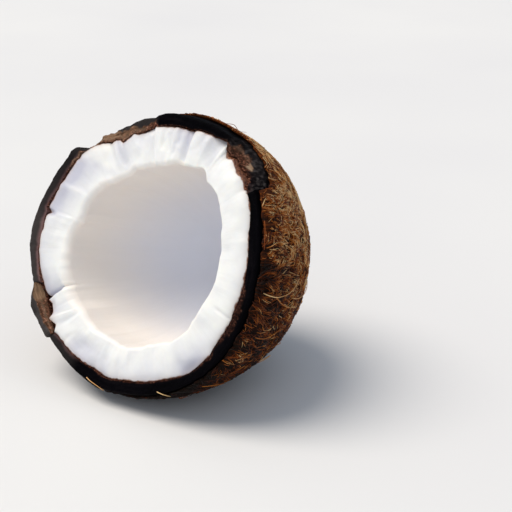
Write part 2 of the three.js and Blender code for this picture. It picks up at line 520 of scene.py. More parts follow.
def add_node(
    tree: NodeTree, kind: str, inputs: Inputs | None = None, stops: list | None = None,
    **settings: object,
) -> Node:
    """Adds a node with its settings and links.

    Args:
        tree: the material's nodes.
        kind: Blender's name of the node type.
        inputs: what feeds its inputs, as for feed().
        stops: positions and hex colours of a colour ramp.
        **settings: the node's own properties.

    Returns:
        The node.
    """
    node = tree.nodes.new(kind)
    for key, value in settings.items():
        setattr(node, key, value)
    feed(tree, node, inputs or {})
    if stops:
        elements = node.color_ramp.elements
        while len(elements) < len(stops):
            elements.new(1.0)
        for element, (position, colour) in zip(elements, stops):
            element.position = position
            element.color = linear_colour(colour)
    return node


@dataclass(frozen=True)
class Finish:
    """A finish: one material, built once and shared by the pieces that wear it."""

    name: str

    def material(self) -> Material:
        """The finish's material, made the first time it is asked for."""
        made = bpy.data.materials.get(self.name)
        if made is None:
            made = bpy.data.materials.new(self.name)
            made.use_nodes = True
            tree = made.node_tree
            inputs = self.build(partial(add_node, tree))
            feed(tree, tree.nodes["Principled BSDF"], inputs)
        return made

    def build(self, add: Callable[..., Node]) -> Inputs:
        """Adds the finish's patterns.

        Args:
            add: add_node() for the finish's tree.

        Returns:
            What feeds the shader.
        """
        raise NotImplementedError


@dataclass(frozen=True)
class FleshFinish(Finish):
    """Fresh coconut flesh, snapped: dense, white and moist, with a brown skin outside.

    Light goes a millimetre or two into it, so its shadows are soft, and the moisture
    gives it a low sheen. Where it broke it has a fine radial grain.
    """

    name: str = "fresh_coconut_flesh"
    grain_mm: float = 1.1
    mottle_mm: float = 7.0
    skin_grain_mm: float = 0.9

    def build(self, add: Callable[..., Node]) -> Inputs:
        """White with faint mottling, then the hollow with painted shade, moist grey with painted
        shade, worn edge and skin over it.

        Args:
            add: add_node() for the finish's tree.

        Returns:
            What feeds the shader.
        """
        place = add("ShaderNodeTexCoord").outputs["Object"]
        grain = add("ShaderNodeAttribute", attribute_name="grain").outputs["Vector"]
        skin, thin, grey, hollow, cool = (
            add("ShaderNodeAttribute", attribute_name=name).outputs["Fac"]
            for name in ("skin", "thin", "grey", "hollow", "cool")
        )
        mottle, skin_grain, fine = (
            add(
                "ShaderNodeTexNoise",
                {"Vector": way, "Scale": 1.0 / size, "Detail": detail, "Roughness": rough},
            ).outputs["Fac"]
            for way, size, detail, rough in (
                (place, self.mottle_mm * METRES_PER_MM, 3.0, 0.5),
                (place, self.skin_grain_mm * METRES_PER_MM, 4.0, 0.65),
                (grain, self.grain_mm, 4.0, 0.6),
            )
        )
        white, brown = (
            add("ShaderNodeValToRGB", {"Fac": noise}, stops).outputs["Color"]
            for noise, stops in (
                (mottle, [(0.35, "e9eae9"), (0.55, "eeefec"), (0.75, "f1f2ec")]),
                (skin_grain, [(0.32, "341b13"), (0.5, "6a3f2c"), (0.68, "9c6d4e")]),
            )
        )
        # painted shade: the cream lining turns bluer grey deeper in the hollow
        lining = add(
            "ShaderNodeMix", {"Factor": cool, 6: "f1eae2", 7: "dcdfe9"}, data_type="RGBA"
        ).outputs[2]
        colour = white
        # the grey share mixes moist flesh colour with painted shade in grooves, at steps and towards
        # the outer edge
        for share, over in ((hollow, lining), (grey, "c2c3cf"), (thin, "b8a396"), (skin, brown)):
            colour = add(
                "ShaderNodeMix", {"Factor": share, 6: colour, 7: over}, data_type="RGBA"
            ).outputs[2]
        bump = add("ShaderNodeBump", {"Strength": 0.35, "Distance": 0.00025, "Height": fine})
        rough = add("ShaderNodeMapRange", {"Value": skin_grain, "To Min": 0.34, "To Max": 0.52})
        return {
            "Base Color": colour, "Roughness": rough.outputs["Result"],
            "Normal": bump.outputs["Normal"], "IOR": 1.4, "Subsurface Weight": 0.3,
            "Subsurface Radius": (1.0, 0.85, 0.7), "Subsurface Scale": 0.0022,
        }


@dataclass(frozen=True)
class ShellFinish(Finish):
    """Coconut shell: hard, dense and near black, reddish brown where it is freshly broken.

    The old face is dull, with greyish dust and skin left on it, and the break is crumbly
    and dry.
    """

    name: str = "hard_coconut_shell"
    crumb_mm: float = 0.9
    streak_mm: float = 2.2

    def build(self, add: Callable[..., Node]) -> Inputs:
        """Near black under dust, then brown to tan crumbs where it is fresh.

        Args:
            add: add_node() for the finish's tree.

        Returns:
            What feeds the shader.
        """
        place = add("ShaderNodeTexCoord").outputs["Object"]
        grain = add("ShaderNodeAttribute", attribute_name="grain").outputs["Vector"]
        fresh, pale, dust, skin = (
            add("ShaderNodeAttribute", attribute_name=name).outputs["Fac"]
            for name in ("fresh", "pale", "dust", "skin")
        )
        crumb = add(
            "ShaderNodeTexNoise",
            {"Vector": place, "Scale": 1.0 / (self.crumb_mm * METRES_PER_MM), "Detail": 4.0,
             "Roughness": 0.65},
        ).outputs["Fac"]
        streak = add(
            "ShaderNodeTexNoise",
            {"Vector": grain, "Scale": 1.0 / self.streak_mm, "Detail": 3.0},
        ).outputs["Fac"]
        dark, brown, tan = (
            add("ShaderNodeValToRGB", {"Fac": noise}, stops).outputs["Color"]
            for noise, stops in (
                (streak, [(0.3, "010102"), (0.55, "040306"), (0.8, "0f0b0e")]),
                (crumb, [(0.34, "140807"), (0.47, "361d16"), (0.58, "653b2d"), (0.72, "ac806a")]),
                (streak, [(0.3, "3f2f25"), (0.5, "8b6f57"), (0.75, "bda389")]),
            )
        )
        film, broken = (
            add(
                "ShaderNodeMix", {"Factor": share, 6: under, 7: over}, data_type="RGBA"
            ).outputs[2]
            for share, under, over in ((skin, "6f6866", "745a59"), (pale, brown, tan))
        )
        colour = dark
        for share, over in ((dust, film), (fresh, broken)):
            colour = add(
                "ShaderNodeMix", {"Factor": share, 6: colour, 7: over}, data_type="RGBA"
            ).outputs[2]
        bump = add("ShaderNodeBump", {"Strength": 0.6, "Distance": 0.0004, "Height": crumb})
        rough = add("ShaderNodeMapRange", {"Value": fresh, "To Min": 0.6, "To Max": 0.9})
        return {
            "Base Color": colour, "Roughness": rough.outputs["Result"],
            "Normal": bump.outputs["Normal"], "IOR": 1.5, "Specular IOR Level": 0.02,
        }


@dataclass(frozen=True)
class CoirFinish(Finish):
    """Brown coir: dry, stiff plant fibre with a dull shine along each strand.

    A ripe coconut's fibres go from dark brown at the roots to a pale straw gold at the
    tips and where they are rubbed.
    """

    name: str = "brown_coir"
    patch_mm: float = 9.0

    def build(self, add: Callable[..., Node]) -> Inputs:
        """The attribute tone runs from dark brown to straw, and on the fibres carries painted light
        on top and painted shade underneath; slow patches go over it.

        Args:
            add: add_node() for the finish's tree.

        Returns:
            What feeds the shader.
        """
        place = add("ShaderNodeTexCoord").outputs["Object"]
        tone = add("ShaderNodeAttribute", attribute_name="tone").outputs["Fac"]
        patch = add(
            "ShaderNodeTexNoise",
            {"Vector": place, "Scale": 1.0 / (self.patch_mm * METRES_PER_MM), "Detail": 2.0},
        )
        shift = add(
            "ShaderNodeMapRange",
            {"Value": patch.outputs["Fac"], "From Min": 0.3, "From Max": 0.7, "To Min": -0.12,
             "To Max": 0.12},
        )
        toned = add("ShaderNodeMath", {0: tone, 1: shift.outputs["Result"]}, operation="ADD")
        colour = add(
            "ShaderNodeValToRGB", {"Fac": toned.outputs["Value"]},
            [(0.05, "120702"), (0.3, "3f1704"), (0.55, "88400e"), (0.78, "c6782e"), (0.97, "e4be86")],
        )
        return {
            "Base Color": colour.outputs["Color"], "Roughness": 0.6, "IOR": 1.5,
            "Specular IOR Level": 0.2,
        }


@dataclass(frozen=True)
class CoirMatFinish(Finish):
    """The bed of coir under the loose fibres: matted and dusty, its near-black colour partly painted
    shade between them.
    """

    name: str = "matted_coir"
    thread_mm: float = 0.7

    def build(self, add: Callable[..., Node]) -> Inputs:
        """Dark brown threads along the nut, lighter where the attribute tone is higher, which is
        painted light on top and painted shade underneath.

        Args:
            add: add_node() for the finish's tree.

        Returns:
            What feeds the shader.
        """
        grain = add("ShaderNodeAttribute", attribute_name="grain").outputs["Vector"]
        tone = add("ShaderNodeAttribute", attribute_name="tone").outputs["Fac"]
        thread = add(
            "ShaderNodeTexNoise",
            {"Vector": grain, "Scale": 1.0 / self.thread_mm, "Detail": 4.0, "Roughness": 0.6},
        ).outputs["Fac"]
        toned = add("ShaderNodeMath", {0: tone, 1: 0.38, 2: thread}, operation="MULTIPLY_ADD")
        # near-black stops: partly painted shade between the fibres
        colour = add(
            "ShaderNodeValToRGB", {"Fac": toned.outputs["Value"]},
            [(0.32, "0b0502"), (0.48, "220e05"), (0.64, "4a220a"), (0.85, "7e441a")],
        )
        bump = add("ShaderNodeBump", {"Strength": 1.0, "Distance": 0.0006, "Height": thread})
        return {
            "Base Color": colour.outputs["Color"], "Normal": bump.outputs["Normal"],
            "Roughness": 0.9, "Specular IOR Level": 0.1,
        }


@dataclass(frozen=True)
class PaintedFloorFinish(Finish):
    """The studio's floor: matt white paint, rolled on and faintly uneven."""

    name: str = "matt_white_paint"
    cloud_mm: float = 300.0

    def build(self, add: Callable[..., Node]) -> Inputs:
        """Pale, with clouds too faint to notice.

        Args:
            add: add_node() for the finish's tree.

        Returns:
            What feeds the shader.
        """
        place = add("ShaderNodeTexCoord").outputs["Object"]
        cloud = add(
            "ShaderNodeTexNoise",
            {"Vector": place, "Scale": 1.0 / (self.cloud_mm * METRES_PER_MM)},
        )
        colour = add(
            "ShaderNodeValToRGB", {"Fac": cloud.outputs["Fac"]},
            [(0.3, "dededf"), (0.7, "e4e4e3")],
        )
        return {"Base Color": colour.outputs["Color"], "Roughness": 0.9}


# ---- Flesh ----


@dataclass(frozen=True)
class Step:
    """A step across the broken face: one side stands higher, and both fade away from it.

    before and after are the heights just clockwise and anticlockwise of the line, which
    runs from one angle at the outer edge to another at the mouth.
    """

    outer: float
    inner: float
    before: float
    after: float
    fade_before: float = 10.0
    fade_after: float = 10.0
    soft: float = 0.7
    end: float = 2.0  # share of the way in at which the step has faded
    ending: float = 0.3  # share over which it fades there

    def height(self, angle: Array, inwards: Array) -> Array:
        """Its height: before and after, each fading away from the line, eased over it.

        Args:
            angle: degrees.
            inwards: 0 at the outer edge, 1 at the mouth.

        Returns:
            Millimetres.
        """
        off = turn_from(angle, self.outer + (self.inner - self.outer) * inwards)
        over = ramp(off, -self.soft, self.soft)
        low = self.before * np.exp(-np.maximum(-off, 0.0) / self.fade_before)
        high = self.after * np.exp(-np.maximum(off, 0.0) / self.fade_after)
        fade = 1.0 - ramp(inwards, self.end - self.ending, self.end)
        return (low * (1.0 - over) + high * over) * fade


@dataclass(frozen=True)
class Crease:
    """A narrow groove, or a ridge if its depth is negative, across part of the face."""

    outer: float
    inner: float
    depth: float
    width: float  # mm
    start: float = 0.0  # share of the way in at which it starts
    end: float = 1.0
    # shares before and after its start and its end over which it fades
    starting: Pair = (0.12, 0.06)
    ending: Pair = (0.2, 0.1)

    def height(self, angle: Array, inwards: Array, radius: float) -> Array:
        """Its height: a bell across the line, faded at both ends.

        Args:
            angle: degrees.
            inwards: 0 at the outer edge, 1 at the mouth.
            radius: mm from the axis, at which its width is measured.

        Returns:
            Millimetres.
        """
        line = self.outer + (self.inner - self.outer) * inwards
        away = np.radians(turn_from(angle, line)) * radius / self.width
        fade = ramp(inwards, self.start - self.starting[0], self.start + self.starting[1])
        fade = fade * (1.0 - ramp(inwards, self.end - self.ending[0], self.end + self.ending[1]))
        return -self.depth * np.exp(-away * away) * fade


@dataclass(frozen=True)
class Dent:
    """A shallow hollow in the face, or a bump if its depth is negative."""

    at: float
    radius: float  # mm from the axis
    depth: float
    along: float  # half length round the axis, mm
    across: float  # half width along the radius, mm

    def height(self, angle: Array, radius: Array) -> Array:
        """Its height: a bell in both directions.

        Args:
            angle: degrees.
            radius: mm from the axis.

        Returns:
            Millimetres.
        """
        sideways = np.radians(turn_from(angle, self.at)) * self.radius / self.along
        outwards = (radius - self.radius) / self.across
        return -self.depth * np.exp(-(sideways**2) - outwards**2)


@dataclass
class Brim:
    """The lines that the broken face hangs on, with one value a column.

    A pair of rows holds mm to the right and mm up the cut face.
    """

    angle: Array
    ragged: Array  # by which the outer edge stands out
    wavy: Array  # by which the mouth stands out
    edge: Array  # pair of rows: the outer edge
    mouth: Array  # pair of rows: the mouth of the hollow
    lip: Array  # radius of the lip, mm

    @property
    def width(self) -> Array:
        """From the mouth to the outer edge, in mm."""
        return np.hypot(*(self.edge - self.mouth))

    @property
    def outwards(self) -> Array:
        """Pair of rows: the unit vector from the mouth to the outer edge."""
        return (self.edge - self.mouth) / self.width

    @property
    def crown(self) -> Array:
        """Pair of rows: where the face ends and the lip starts to turn down."""
        return self.mouth + self.lip * self.outwards


@dataclass
class Flesh:
    """The bowl of white flesh: outer wall with the brown skin, broken face, lip, hollow."""

    shape: NutShape
    columns: int = 620
    wall_rows: int = 26
    face_rows: int = 44
    lip_rows: int = 12
    hollow_rows: int = 30
    seed: int = 11
    middle: float = 40.0  # mm, middle of the broken face
    fall_slope: float = 0.5  # of the face at its outer edge
    fall_width: float = 6.0
    blend: float = 3.0  # mm over which the walls take up the height of the face
    streak_squeeze: float = 0.1  # of the way along the radius, so that streaks run that way
    grain_squeeze: float = 0.12  # the same for the grain of the finish
    # powers that crowd the rows towards the outer edge, and in the hollow towards its lip
    wall_crowding: float = 1.7
    face_crowding: float = 1.25
    hollow_crowding: float = 1.1
    hollow_end: float = 0.4  # rows that are left out at the pole
    edge_lumps: Lumps = Lumps(0.15, 3)
    mouth_lumps: Lumps = Lumps(0.3, 6)
    face_lumps: Lumps = Lumps(0.45, 8, 2)
    # these two are scaled by rough_knots
    face_pits: Lumps = Lumps(0.12, 2.6)
    face_streaks: Lumps = Lumps(0.3, 2.8)
    swells: Lumps = Lumps(0.12, 9, 1)
    swells_from: float = 0.5  # mm behind the cut
    skin_lumps: Lumps = Lumps(0.35, 1.6, 2)
    skin_edge: Pair = (0.15, 0.5)  # mm from the outer edge where the skin ends
    worn_share: float = 0.6  # of the brown that shows through at the outer edge
    worn_reach: float = 0.9  # mm
    brown_stains: tuple[Bulge, ...] = (Bulge(133, 18, 0.25), Bulge(225.5, 3, 0.5))
    stain_reach: float = 2.6  # mm
    grey_fade: float = 1.5  # power by which the grey and its painted shade fade on the way in
    groove_shade: float = 0.35  # painted shade: how much less grey a bump is, and more a groove, for each mm of height
    hollow_start: Pair = (-1.0, 2.5)  # mm behind the cut
    # painted shade: the hollow's lining turns bluer grey along this direction: across, up or down,
    # and behind
    hollow_shade_way: Triple = (0.2, -0.25, 0.75)
    hollow_shade_range: Pair = (-2.0, 36.0)
    # (angle, mm) by which the mouth of the hollow stands out from its layer
    mouth_knots: Knots = (
        (0, -0.4), (30, 0.3), (45, 0.7), (52, 0.5), (56, 0), (60, 1.8), (63, 2.2), (68, 0.7),
        (73, -0.2), (78, -1.2), (84, -1.2), (90, -2.4), (98, -1.9), (106, -1.1), (113, -0.2),
        (120, -2), (126, -2.7), (135, -3.6), (142, -2.3), (158, -2.3), (166, -3.3), (172, -3.2),
        (175, -1.7), (182, -0.5), (194, 0.3), (205, 0.9), (214, 1), (224, 1), (232, -0.3),
        (240, -0.2), (250, -0.4), (258, -0.8), (264, -0.6), (270, 0.2), (280, 0), (286, -0.4),
        (291, -1.1), (300, -1), (306, -0.2), (312, -0.3), (320, -0.5), (326, -1.6), (336, -2),
        (341, -2), (346, -1.4), (354, -0.3),
    )
    # (angle, radius of the lip in mm)
    lip_knots: Knots = (
        (0, 0.5), (45, 0.7), (68, 0.8), (80, 2), (110, 2), (150, 2.4), (200, 3.6), (218, 4.4),
        (235, 3), (262, 1.8), (290, 1.4), (346, 1.2), (354, 0.8),
    )
    # (angle, how rough the face is)
    rough_knots: Knots = (
        (0, 0.3), (40, 0.25), (61, 0.3), (64, 0.8), (100, 0.8), (112, 0.5), (130, 0.3), (205, 0.3),
        (216, 0.4), (250, 0.5), (330, 0.3),
    )
    # (angle, mm) by which the outer edge lies behind the mouth on a plain slope
    slope_knots: Knots = (
        (0, 0), (36, 0.2), (42, 0.8), (48, 0.8), (61, 2.9), (63, 2.6), (67.5, 0.2), (70, 0), (112, 0),
        (116, -0.5), (122, -0.3), (126.5, 1.2), (140, 1.2), (146, 0), (290, 0), (330, 0.6),
        (350, 0.3),
    )
    # (angle, how grey the flesh is at its outer edge: moist grey and painted shade)
    grey_and_shade_knots: Knots = (
        (0, 0.25), (20, 0.2), (40, 0.1), (50, 0), (60.5, 0), (62, 0.4), (66, 0.4),
        (74, 0.3), (76.4, 0.3), (77.4, 1), (80.5, 0.9), (82.2, 0.6), (84, 0.8), (87, 0.3), (88, 0.2),
        (92, 0), (97, 0.3), (99, 0.5), (112, 0.5), (117, 0.7), (121, 0.6), (124, 0.5), (126.5, 0),
        (136, 0), (140, 0.35), (144, 0.8), (148, 1.2), (155, 1.2), (157.5, 0.8), (159.5, 1.3),
        (166, 1), (170, 1.2), (173, 1.2), (175, 0.5), (181, 0.5), (188, 0.4), (198, 0.7), (204, 0.5),
        (208, 0.7), (213.5, 1.5), (215.8, 0.6), (220, 0.4), (224, 0.9), (226, 0.2), (239, 0.1),
        (243, 0.7), (252, 1), (264, 0.8), (270, 0.5), (280, 0.4), (290, 0.7), (300, 0.5), (307, 0.5),
        (309.5, 1), (319, 1), (322, 0.6), (328, 0.4), (336, 0), (348, 0), (356, 0.2),
    )
    steps: tuple[Step, ...] = tuple(Step(*row) for row in (
        (98.2, 97, 0.7, -0.8, 9, 13), (76.4, 75.4, 0.45, -0.35, 6, 5, 0.5),
        (122.8, 119.8, -0.5, 0.4, 5, 10, 1.4, 0.9), (158.6, 153.8, -0.35, 0.1, 12, 8, 1.2, 1),
        (173.5, 171, -0.4, 0.3, 9, 12, 0.7, 0.9), (215.4, 211.6, -3.4, 0.2, 7, 9, 0.6, 0.85),
        (224.2, 229.6, -0.25, 0.35, 3, 4, 0.6, 0.9),
    ))
    creases: tuple[Crease, ...] = tuple(Crease(*row) for row in (
        (78.6, 77.6, 1, 1.7), (83.4, 82.2, 0.5, 1, 0, 0.5), (85.4, 84.8, 0.5, 1, 0.4, 0.8),
        (88.8, 86.8, 0.5, 1, 0, 0.7), (92.6, 91.6, 0.5, 1, 0.05, 0.6), (70, 71.5, 0.5, 1, 0, 0.5),
        (107, 108, 0.3, 1.4, 0.1, 0.8), (158.2, 153.6, -0.25, 0.9, 0.35, 0.8),
        (173.6, 172.8, 1.6, 0.9, 0, 0.25), (190, 192, 0.25, 1.6, 0.1, 0.9),
        (215.2, 212, 2, 0.8, 0, 0.75), (229.8, 232.4, 0.3, 0.7, 0.2, 0.85),
        (238.5, 239.5, 0.4, 1, 0, 0.4), (266, 264, 0.3, 1.8, 0, 0.6),
        (341.8, 341.2, 0.5, 0.6, 0.05, 0.6),
    ))
    dents: tuple[Dent, ...] = tuple(Dent(*row) for row in (
        (244.5, 43.2, 0.6, 3.2, 2), (250, 40.5, 0.7, 5, 2.4), (220, 43.5, 0.7, 2.4, 1.4),
        (313.5, 47.2, 1.2, 4.2, 2.2), (308.5, 43.5, 0.5, 2, 2.6), (105.5, 36, -0.4, 3, 3),
        (119, 35, 0.5, 2.2, 3.6), (135, 38.5, 0.35, 7, 3), (206, 45, 0.8, 4, 2.5),
        (150, 43, 0.5, 5, 3), (165, 43, 0.4, 4, 2.5),
    ))
    # the same shapes, for shares of painted shade in the grey colour instead of heights
    painted_shade_steps: tuple[Step, ...] = tuple(Step(*row) for row in (
        (146, 125, 0, 0.45, 6, 12, 4, 1), (122.4, 120.6, 0.3, 0, 4, 8, 1.2, 1.1),
        (62.4, 60.4, 0, 0.3, 4, 5, 0.8, 1.1),
    ))

    def grooves(self, angle: Array, inwards: Array, radius: Array) -> Array:
        """Height of the creases and dents in mm, negative in a groove."""
        height = sum(crease.height(angle, inwards, self.middle) for crease in self.creases)
        return height + sum(dent.height(angle, radius) for dent in self.dents)

    def relief(self, angle: Array, inwards: Array, radius: Array) -> Array:
        """Height of the broken face above the plane of the cut.

        The sum of the steps, grooves and slopes, and of noise in two forms: round lumps,
        and streaks that change ten times as slowly along the radius as across it.

        Args:
            angle: degrees.
            inwards: 0 at the outer edge, 1 at the mouth.
            radius: distance from the axis, mm.

        Returns:
            Millimetres, positive towards the viewer.
        """
        noise, rough = Roughness(self.seed), around(angle, self.rough_knots)
        flat = on_ring(radius, angle)
        squeezed = self.middle + self.streak_squeeze * (radius - self.middle)
        height = sum(step.height(angle, inwards) for step in self.steps)
        height = height + self.grooves(angle, inwards, radius)
        height = height - around(angle, self.slope_knots) * (1.0 - inwards)
        height = height + self.face_lumps.on(flat, noise) + rough * self.face_pits.on(flat, noise)
        return height + rough * self.face_streaks.on(on_ring(squeezed, angle), noise)

    def brim(self, noise: Roughness) -> Brim:
        """The ragged outer edge and the mouth of the hollow, in the plane of the cut.

        Args:
            noise: the bowl's roughness.

        Returns:
            The lines of the face.
        """
        shape, angle = self.shape, full_circle(self.columns)
        ring = on_ring(self.middle, angle)
        ragged = self.edge_lumps.on(ring, noise) + shape.edge_offset(angle)
        # the mouth takes its waves from another part of the noise
        wavy = self.mouth_lumps.on(ring + 90.0, noise) + around(angle, self.mouth_knots)
        edge = shape.section(shape.flesh, angle, 0.0, ragged)[:2]
        mouth = shape.section(shape.cavity, angle, 0.0, wavy)[:2]
        mouth[0] += shape.cavity_shift
        return Brim(angle, ragged, wavy, edge, mouth, around(angle, self.lip_knots))

    def wall(self, brim: Brim, edge_behind: Array) -> Array:
        """The outer wall from the pole to the edge, its top bent to meet the face.

        Args:
            brim: the lines of the face.
            edge_behind: how far behind the cut the face's outer edge lies, mm.

        Returns:
            Array (3, rows, columns) of across, up and behind.
        """
        shape = self.shape
        share = np.linspace(0.0, 1.0, self.wall_rows, endpoint=False)[:, None]
        latitude = shape.pole_ring * (1.0 - share) ** self.wall_crowding
        depth = shape.behind_at(shape.flesh, latitude)
        out = brim.ragged * np.exp(-depth / shape.edge_reach)
        wall = shape.section(shape.flesh, brim.angle, latitude, out)
        wall[2] += edge_behind * np.exp(-depth / self.blend)
        return wall

    def face(self, brim: Brim) -> tuple[Array, Array, Array, Array]:
        """The broken face from the outer edge to the lip.

        Its height is the relief, less a fall towards the outer edge: a third of slope
        times width, times the cube of 1 - distance / width.

        Args:
            brim: the lines of the face.

        Returns:
            Array (3, rows, columns) of across, up and behind; the way in, 0 at the outer
            edge and 1 at the mouth; mm from the outer edge; mm from the axis.
        """
        share = np.linspace(0.0, 1.0, self.face_rows)[:, None] ** self.face_crowding
        across, up = brim.edge + (brim.crown - brim.edge) * share
        from_edge = share * (brim.width - brim.lip)
        inwards = share * (brim.width - brim.lip) / brim.width
        radius = np.hypot(across / self.shape.width_ratio, up)
        fall = np.maximum(1.0 - from_edge / self.fall_width, 0.0) ** 3
        height = self.relief(brim.angle, inwards, radius)
        height = height - fall * self.fall_slope * self.fall_width / 3.0
        return np.stack([across, up, -height]), inwards, from_edge, radius

    def lip(self, brim: Brim, crown_behind: Array) -> Array:
        """A quarter circle from the face into the hollow.

        Args:
            brim: the lines of the face.
            crown_behind: how far behind the cut the face's inner end lies, mm.

        Returns:
            Array (3, rows, columns) of across, up and behind.
        """
        bend = np.radians(np.linspace(0.0, QUARTER_TURN, self.lip_rows + 1))[1:, None]
        behind = brim.lip * (1.0 - np.cos(bend)) + crown_behind * np.cos(bend / 2.0)
        return np.stack([*(brim.crown - brim.lip * np.sin(bend) * brim.outwards), behind])

    def hollow(self, brim: Brim, crown_behind: Array) -> Array:
        """The wall of the hollow from the lip down to its pole.

        The mouth's shift to the side and its waves fade with depth.

        Args:
            brim: the lines of the face.
            crown_behind: how far behind the cut the face's inner end lies, mm.

        Returns:
            Array (3, rows, columns) of across, up and behind.
        """
        shape, turn = self.shape, np.radians(brim.angle)
        first = shape.latitude_at(shape.cavity, brim.lip)
        rows = self.hollow_rows
        share = (np.arange(1, rows + 1) / (rows + self.hollow_end))[:, None]
        latitude = first + (QUARTER_TURN - first) * share**self.hollow_crowding
        across, up, behind = shape.section(shape.cavity, brim.angle, latitude)
        fade = 1.0 - behind / shape.cavity.depth
        wave = brim.wavy * (fade * (np.cos(np.radians(latitude)) ** 0.5))
        across = across + shape.cavity_shift * fade + wave * np.cos(turn)
        up = up + wave * np.sin(turn)
        lift = crown_behind * math.cos(math.pi / 4) * np.exp(-(behind - brim.lip) / self.blend)
        return np.stack([across, up, behind + lift])

    def grey_and_shade(self, angle: Array, inwards: Array, radius: Array) -> Array:
        """How grey the face is, from 0 to 1: moist grey with painted shade.

        Args:
            angle: degrees.
            inwards: 0 at the outer edge, 1 at the mouth.
            radius: distance from the axis, mm.

        Returns:
            The share of grey, partly painted shade.
        """
        grey = around(angle, self.grey_and_shade_knots) * (1.0 - inwards) ** self.grey_fade
        # painted shade: grooves and the painted shade steps make the face greyer
        grey = grey - self.groove_shade * self.grooves(angle, inwards, radius)
        grey = grey + sum(stain.height(angle, inwards) for stain in self.painted_shade_steps)
        return np.clip(grey, 0.0, 1.0)

    def surface(self) -> Surface:
        """The whole bowl as one closed grid.

        Each column is the section at one angle: from the outer pole up the wall to the
        outer edge, across the face, round the lip, and down the hollow to its pole.
        """
        shape, noise = self.shape, Roughness(self.seed + 1)
        brim = self.brim(noise)
        face, inwards, from_edge, radius = self.face(brim)
        crown_behind = face[2, -1:]
        bands = [
            self.wall(brim, face[2, :1]), face, self.lip(brim, crown_behind),
            self.hollow(brim, crown_behind),
        ]
        across, up, behind = np.concatenate(bands, axis=1)
        points = shape.place(across, up, behind)
        swollen = self.swells.on(points, noise) * (behind > self.swells_from)
        points = points + swollen[..., None]
        # shares of the finish's colours
        on_face = slice(self.wall_rows, self.wall_rows + self.face_rows)
        inside = slice(on_face.stop, None)
        skin, thin, grey, hollow, cool = np.zeros((5, *across.shape))
        skin[: on_face.start] = 1.0
        ragged = self.skin_lumps.on(points, noise)[on_face]
        skin[on_face] = 1.0 - ramp(from_edge + ragged, *self.skin_edge)
        stained = sum(stain.on(brim.angle) for stain in self.brown_stains)
        thin[on_face] = self.worn_share * np.exp(-from_edge / self.worn_reach)
        thin[on_face] += stained * np.exp(-from_edge / self.stain_reach)
        # painted shade with the moist grey: greyer in grooves, at steps and towards the outer edge
        grey[on_face] = self.grey_and_shade(brim.angle, inwards, radius)
        hollow[inside] = ramp(behind[inside], *self.hollow_start)
        # painted shade in the hollow, growing with depth and towards its right
        hollow_shade_along = np.einsum("i,i...->...", self.hollow_shade_way, [across, np.abs(up), behind])
        cool[inside] = ramp(hollow_shade_along[inside], *self.hollow_shade_range)
        slow = self.middle + self.grain_squeeze * (np.hypot(across, up) - self.middle)
        values = {"skin": skin, "thin": thin, "grey": grey, "hollow": hollow, "cool": cool}
        values["grain"] = on_ring(slow, brim.angle, self.grain_squeeze * behind)
        return Surface.closed_grid(points, values)

    def make(self) -> Object:
        """Builds and dresses the flesh."""
        return make_piece("coconut_meat", self.surface(), FleshFinish(), "flesh")


# ---- Shell ----


